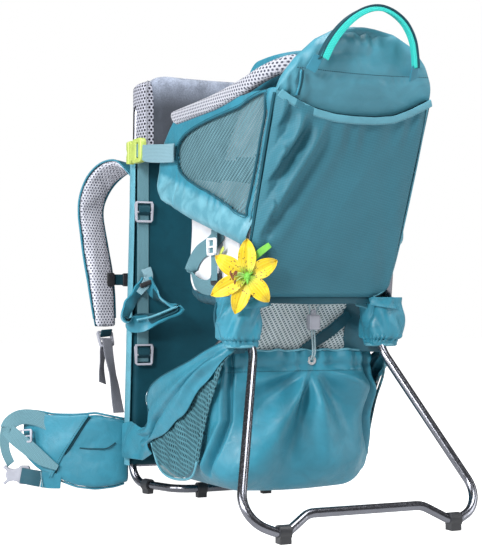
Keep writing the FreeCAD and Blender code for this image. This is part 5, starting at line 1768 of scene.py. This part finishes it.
def make_flower():
    """The flower clip: six petals, stamens, sepals and a tag."""
    centre = np.array(FLOWER_AT)
    facing = unit((-math.sin(FLOWER_TURN), -math.cos(FLOWER_TURN), 0.0))
    side = unit(np.cross(facing, (0, 0, 1))) * -1
    up = np.array((0.0, 0.0, 1.0))
    for k, (degrees, length) in enumerate(PETAL_LENGTHS.items()):
        turn = math.radians(degrees)
        out = side * math.cos(turn) + up * math.sin(turn)
        wide = np.cross(facing, out)
        rows, columns = 26, 15
        s, w = uv_grid(rows, columns)
        w = 2 * w - 1
        half = 13.0 * np.sin(np.pi * np.clip(s * 0.86 + 0.10, 0, 1)) ** 0.85 * (1 - 0.75 * ease(0.9, 1.0, s))
        curl = 7.0 * s * (1 - s) * 2.0 - 7.0 * ease(0.7, 1.0, s) + (1.5 if k % 2 else 3.6)
        trough = 3.2 * np.abs(w) ** 1.6 - 1.2 * ridge(w, 0.16) + 0.8 * np.sin(s * 15 + k) * np.abs(w) ** 3
        base = 3.0 + s * length
        bend = 3.0 * math.sin(k * 2.1) * s ** 2
        p = centre + out * base[..., None] + wide * (w * half + bend)[..., None] + facing * (curl + trough)[..., None]
        uvs = np.stack([s.ravel() * 1000, w.ravel() * 1000 * 0.5], 1)
        obj = add_object(f"flower_petal_{k}", p.reshape(-1, 3), grid_faces(rows, columns), "petal", uvs=uvs,
                         nodes=("flower_clip",) if k == 0 else ())
        modify(obj, "SOLIDIFY", thickness=0.9 * MM, offset=0.0)
        subdivide(obj)
    throat = [centre + facing * d for d in (-2, 5, 8.5)]
    cord_tube("flower_throat", throat, [9.0, 6.5, 2.5], "stem", sides=14, pitch=1.5)
    draw = np.random.RandomState(8)
    for k in range(6):
        aim = unit(facing * 1.0 - side * (1.05 + 0.25 * draw.uniform(-1, 1)) + up * draw.uniform(-0.45, 0.25))
        tip = centre + aim * (26 + 4 * draw.uniform(-1, 1))
        bow = centre + aim * 13 + up * 2.5
        cord_tube(f"flower_stamen_{k}", [centre + facing * 3, bow, tip], [0.9, 0.7, 0.6], "stem_pale", sides=8, pitch=2)
        bar = unit(np.cross(aim, side + up * draw.uniform(-0.6, 0.6)))
        cord_tube(f"flower_anther_{k}", [tip - bar * 3.6, tip + aim * 0.8, tip + bar * 3.6], [0.8, 1.6, 0.8], "anther",
                  sides=8, pitch=1.5)
    for k in range(3):
        turn = 0.6 + 2.1 * k
        sepal = [centre + facing * 4, centre + facing * 7.5 + side * 5 * math.cos(turn) + up * 5 * math.sin(turn),
                 centre + facing * 8 + side * 11 * math.cos(turn) + up * 11 * math.sin(turn)]
        cord_tube(f"flower_sepal_{k}", sepal, [2.6, 2.2, 0.5], "stem", sides=8, squash=(1, 0.4), pitch=2)
    tag = [centre + side * 8 + up * 25 + facing * 1.5, centre + side * 21 + up * 36 + facing * 2.5,
           centre + side * 32 + up * 44 + facing * 2]
    band("flower_tag", tag, -side * 0.6 + up * 0.8, [9, 10, 8], 0.9, "stem")


# ---------------------------------------------------------------- carried-over CAD nodes

NODE_FINISH = {
    "main_frame_tube": "tube", "cockpit_hoop_tube": "tube", "stand_tube": "tube", "back_stays": "stay",
    "stand_pivot_pins": "steel", "drawcord_grommet": "steel", "hoop_saddles": "black", "ground_loop_feet": "black",
    "stand_feet": "black", "stand_pivot_eyes": "black", "stand_hinge_housings": "black", "cord_lock_body": "grey",
    "cord_lock_button": "grey",
}


def finish_nodes():
    """Gives each carried-over CAD node its finish."""
    for name, finish in NODE_FINISH.items():
        node = frame["nodes"][name]
        for slot_ in node.material_slots:
            slot_.material = MAT[finish]
        if not node.material_slots:
            node.data.materials.append(MAT[finish])


# ---------------------------------------------------------------- stage, light and camera

def area_light(name, at, target, size, power, colour=(1, 1, 1)):
    data = bpy.data.lights.new(name, "AREA")
    data.shape = "RECTANGLE"
    data.size, data.size_y = size
    data.energy = power
    data.color = colour
    obj = bpy.data.objects.new(name, data)
    bpy.context.scene.collection.objects.link(obj)
    obj.location = at
    obj.rotation_euler = (Vector(target) - Vector(at)).to_track_quat("-Z", "Y").to_euler()
    return obj


def make_stage():
    """Floor, sky, lights and camera."""
    s = Shader("studio_floor")
    tone = s.mix(s.ramp(s.noise(1.5), 0.3, 0.7), (0.55, 0.55, 0.56, 1), (0.58, 0.58, 0.585, 1))
    finish_shader(s, tone, 0.7, spec=0.0)
    s.bsdf.inputs["Emission Color"].default_value = (1, 1, 1, 1)
    seen = s.node("ShaderNodeLightPath").outputs["Is Camera Ray"]
    s.put(s.bsdf.inputs["Emission Strength"], s.ramp(seen, 0.0, 1.0, 0.36, 1.1, smooth=False))
    mesh = bpy.data.meshes.new("floor")
    mesh.from_pydata([(-9, -9, -0.0005), (9, -9, -0.0005), (9, 9, -0.0005), (-9, 9, -0.0005)], [], [(0, 1, 2, 3)])
    mesh.materials.append(s.material)
    floor = bpy.data.objects.new("floor", mesh)
    bpy.context.scene.collection.objects.link(floor)
    world = bpy.data.worlds.new("studio")
    world.use_nodes = True
    tree = world.node_tree
    sky = tree.nodes["Background"]
    sky.inputs["Color"].default_value = (1.0, 1.0, 1.0, 1)
    seen = tree.nodes.new("ShaderNodeLightPath").outputs["Is Camera Ray"]
    level = tree.nodes.new("ShaderNodeMapRange")
    tree.links.new(seen, level.inputs["Value"])
    level.inputs["To Min"].default_value, level.inputs["To Max"].default_value = WORLD_LIGHT, 1.0
    tree.links.new(level.outputs[0], sky.inputs["Strength"])
    bpy.context.scene.world = world
    bpy.context.scene.view_settings.view_transform = "Standard"
    for light in LIGHTS:
        area_light(*light)
    data = bpy.data.cameras.new("camera")
    data.lens = CAMERA_LENS
    camera = bpy.data.objects.new("camera", data)
    camera.location = CAMERA_AT
    camera.rotation_euler = (math.radians(90 + CAMERA_PITCH), 0, math.radians(CAMERA_TURN))
    bpy.context.scene.collection.objects.link(camera)
    bpy.context.scene.camera = camera


CAMERA_AT = (-0.9322, -1.9577, 0.309)
CAMERA_LENS = 90.5
CAMERA_PITCH = 1.354
CAMERA_TURN = -24.7
WORLD_LIGHT = 0.16
LIGHTS = [
    ("key", (-2.3, -1.7, 1.5), (0, 0, 0.3), (0.6, 0.6), 84),
    ("top", (0.2, -1.0, 2.5), (0, 0, 0.3), (1.2, 1.2), 56),
    ("left", (-2.3, -0.3, 0.9), (0, 0, 0.35), (0.9, 1.4), 38),
    ("right", (2.1, -1.4, 0.8), (0, 0, 0.35), (0.8, 1.6), 24),
]

# ---------------------------------------------------------------- build

make_cover()
make_pocket()
make_handle()
for side_name in SIDES:
    make_cockpit_wall(side_name)
    make_cockpit_lining(side_name)
make_rim()
make_back_panel()
make_neck()
make_back_pads()
make_seat()
make_seat_adjusters()
make_headrest()
make_harness()
make_bag()
for side_name in SIDES:
    make_side_pocket(side_name)
make_rear_mesh()
make_hinge_sleeves()
make_drawcord()
for side_name in SIDES:
    make_shoulder(side_name)
    make_hip(side_name)
    make_entry(side_name)
    make_stirrup(side_name)
make_compression()
make_flower()
finish_nodes()
make_stage()
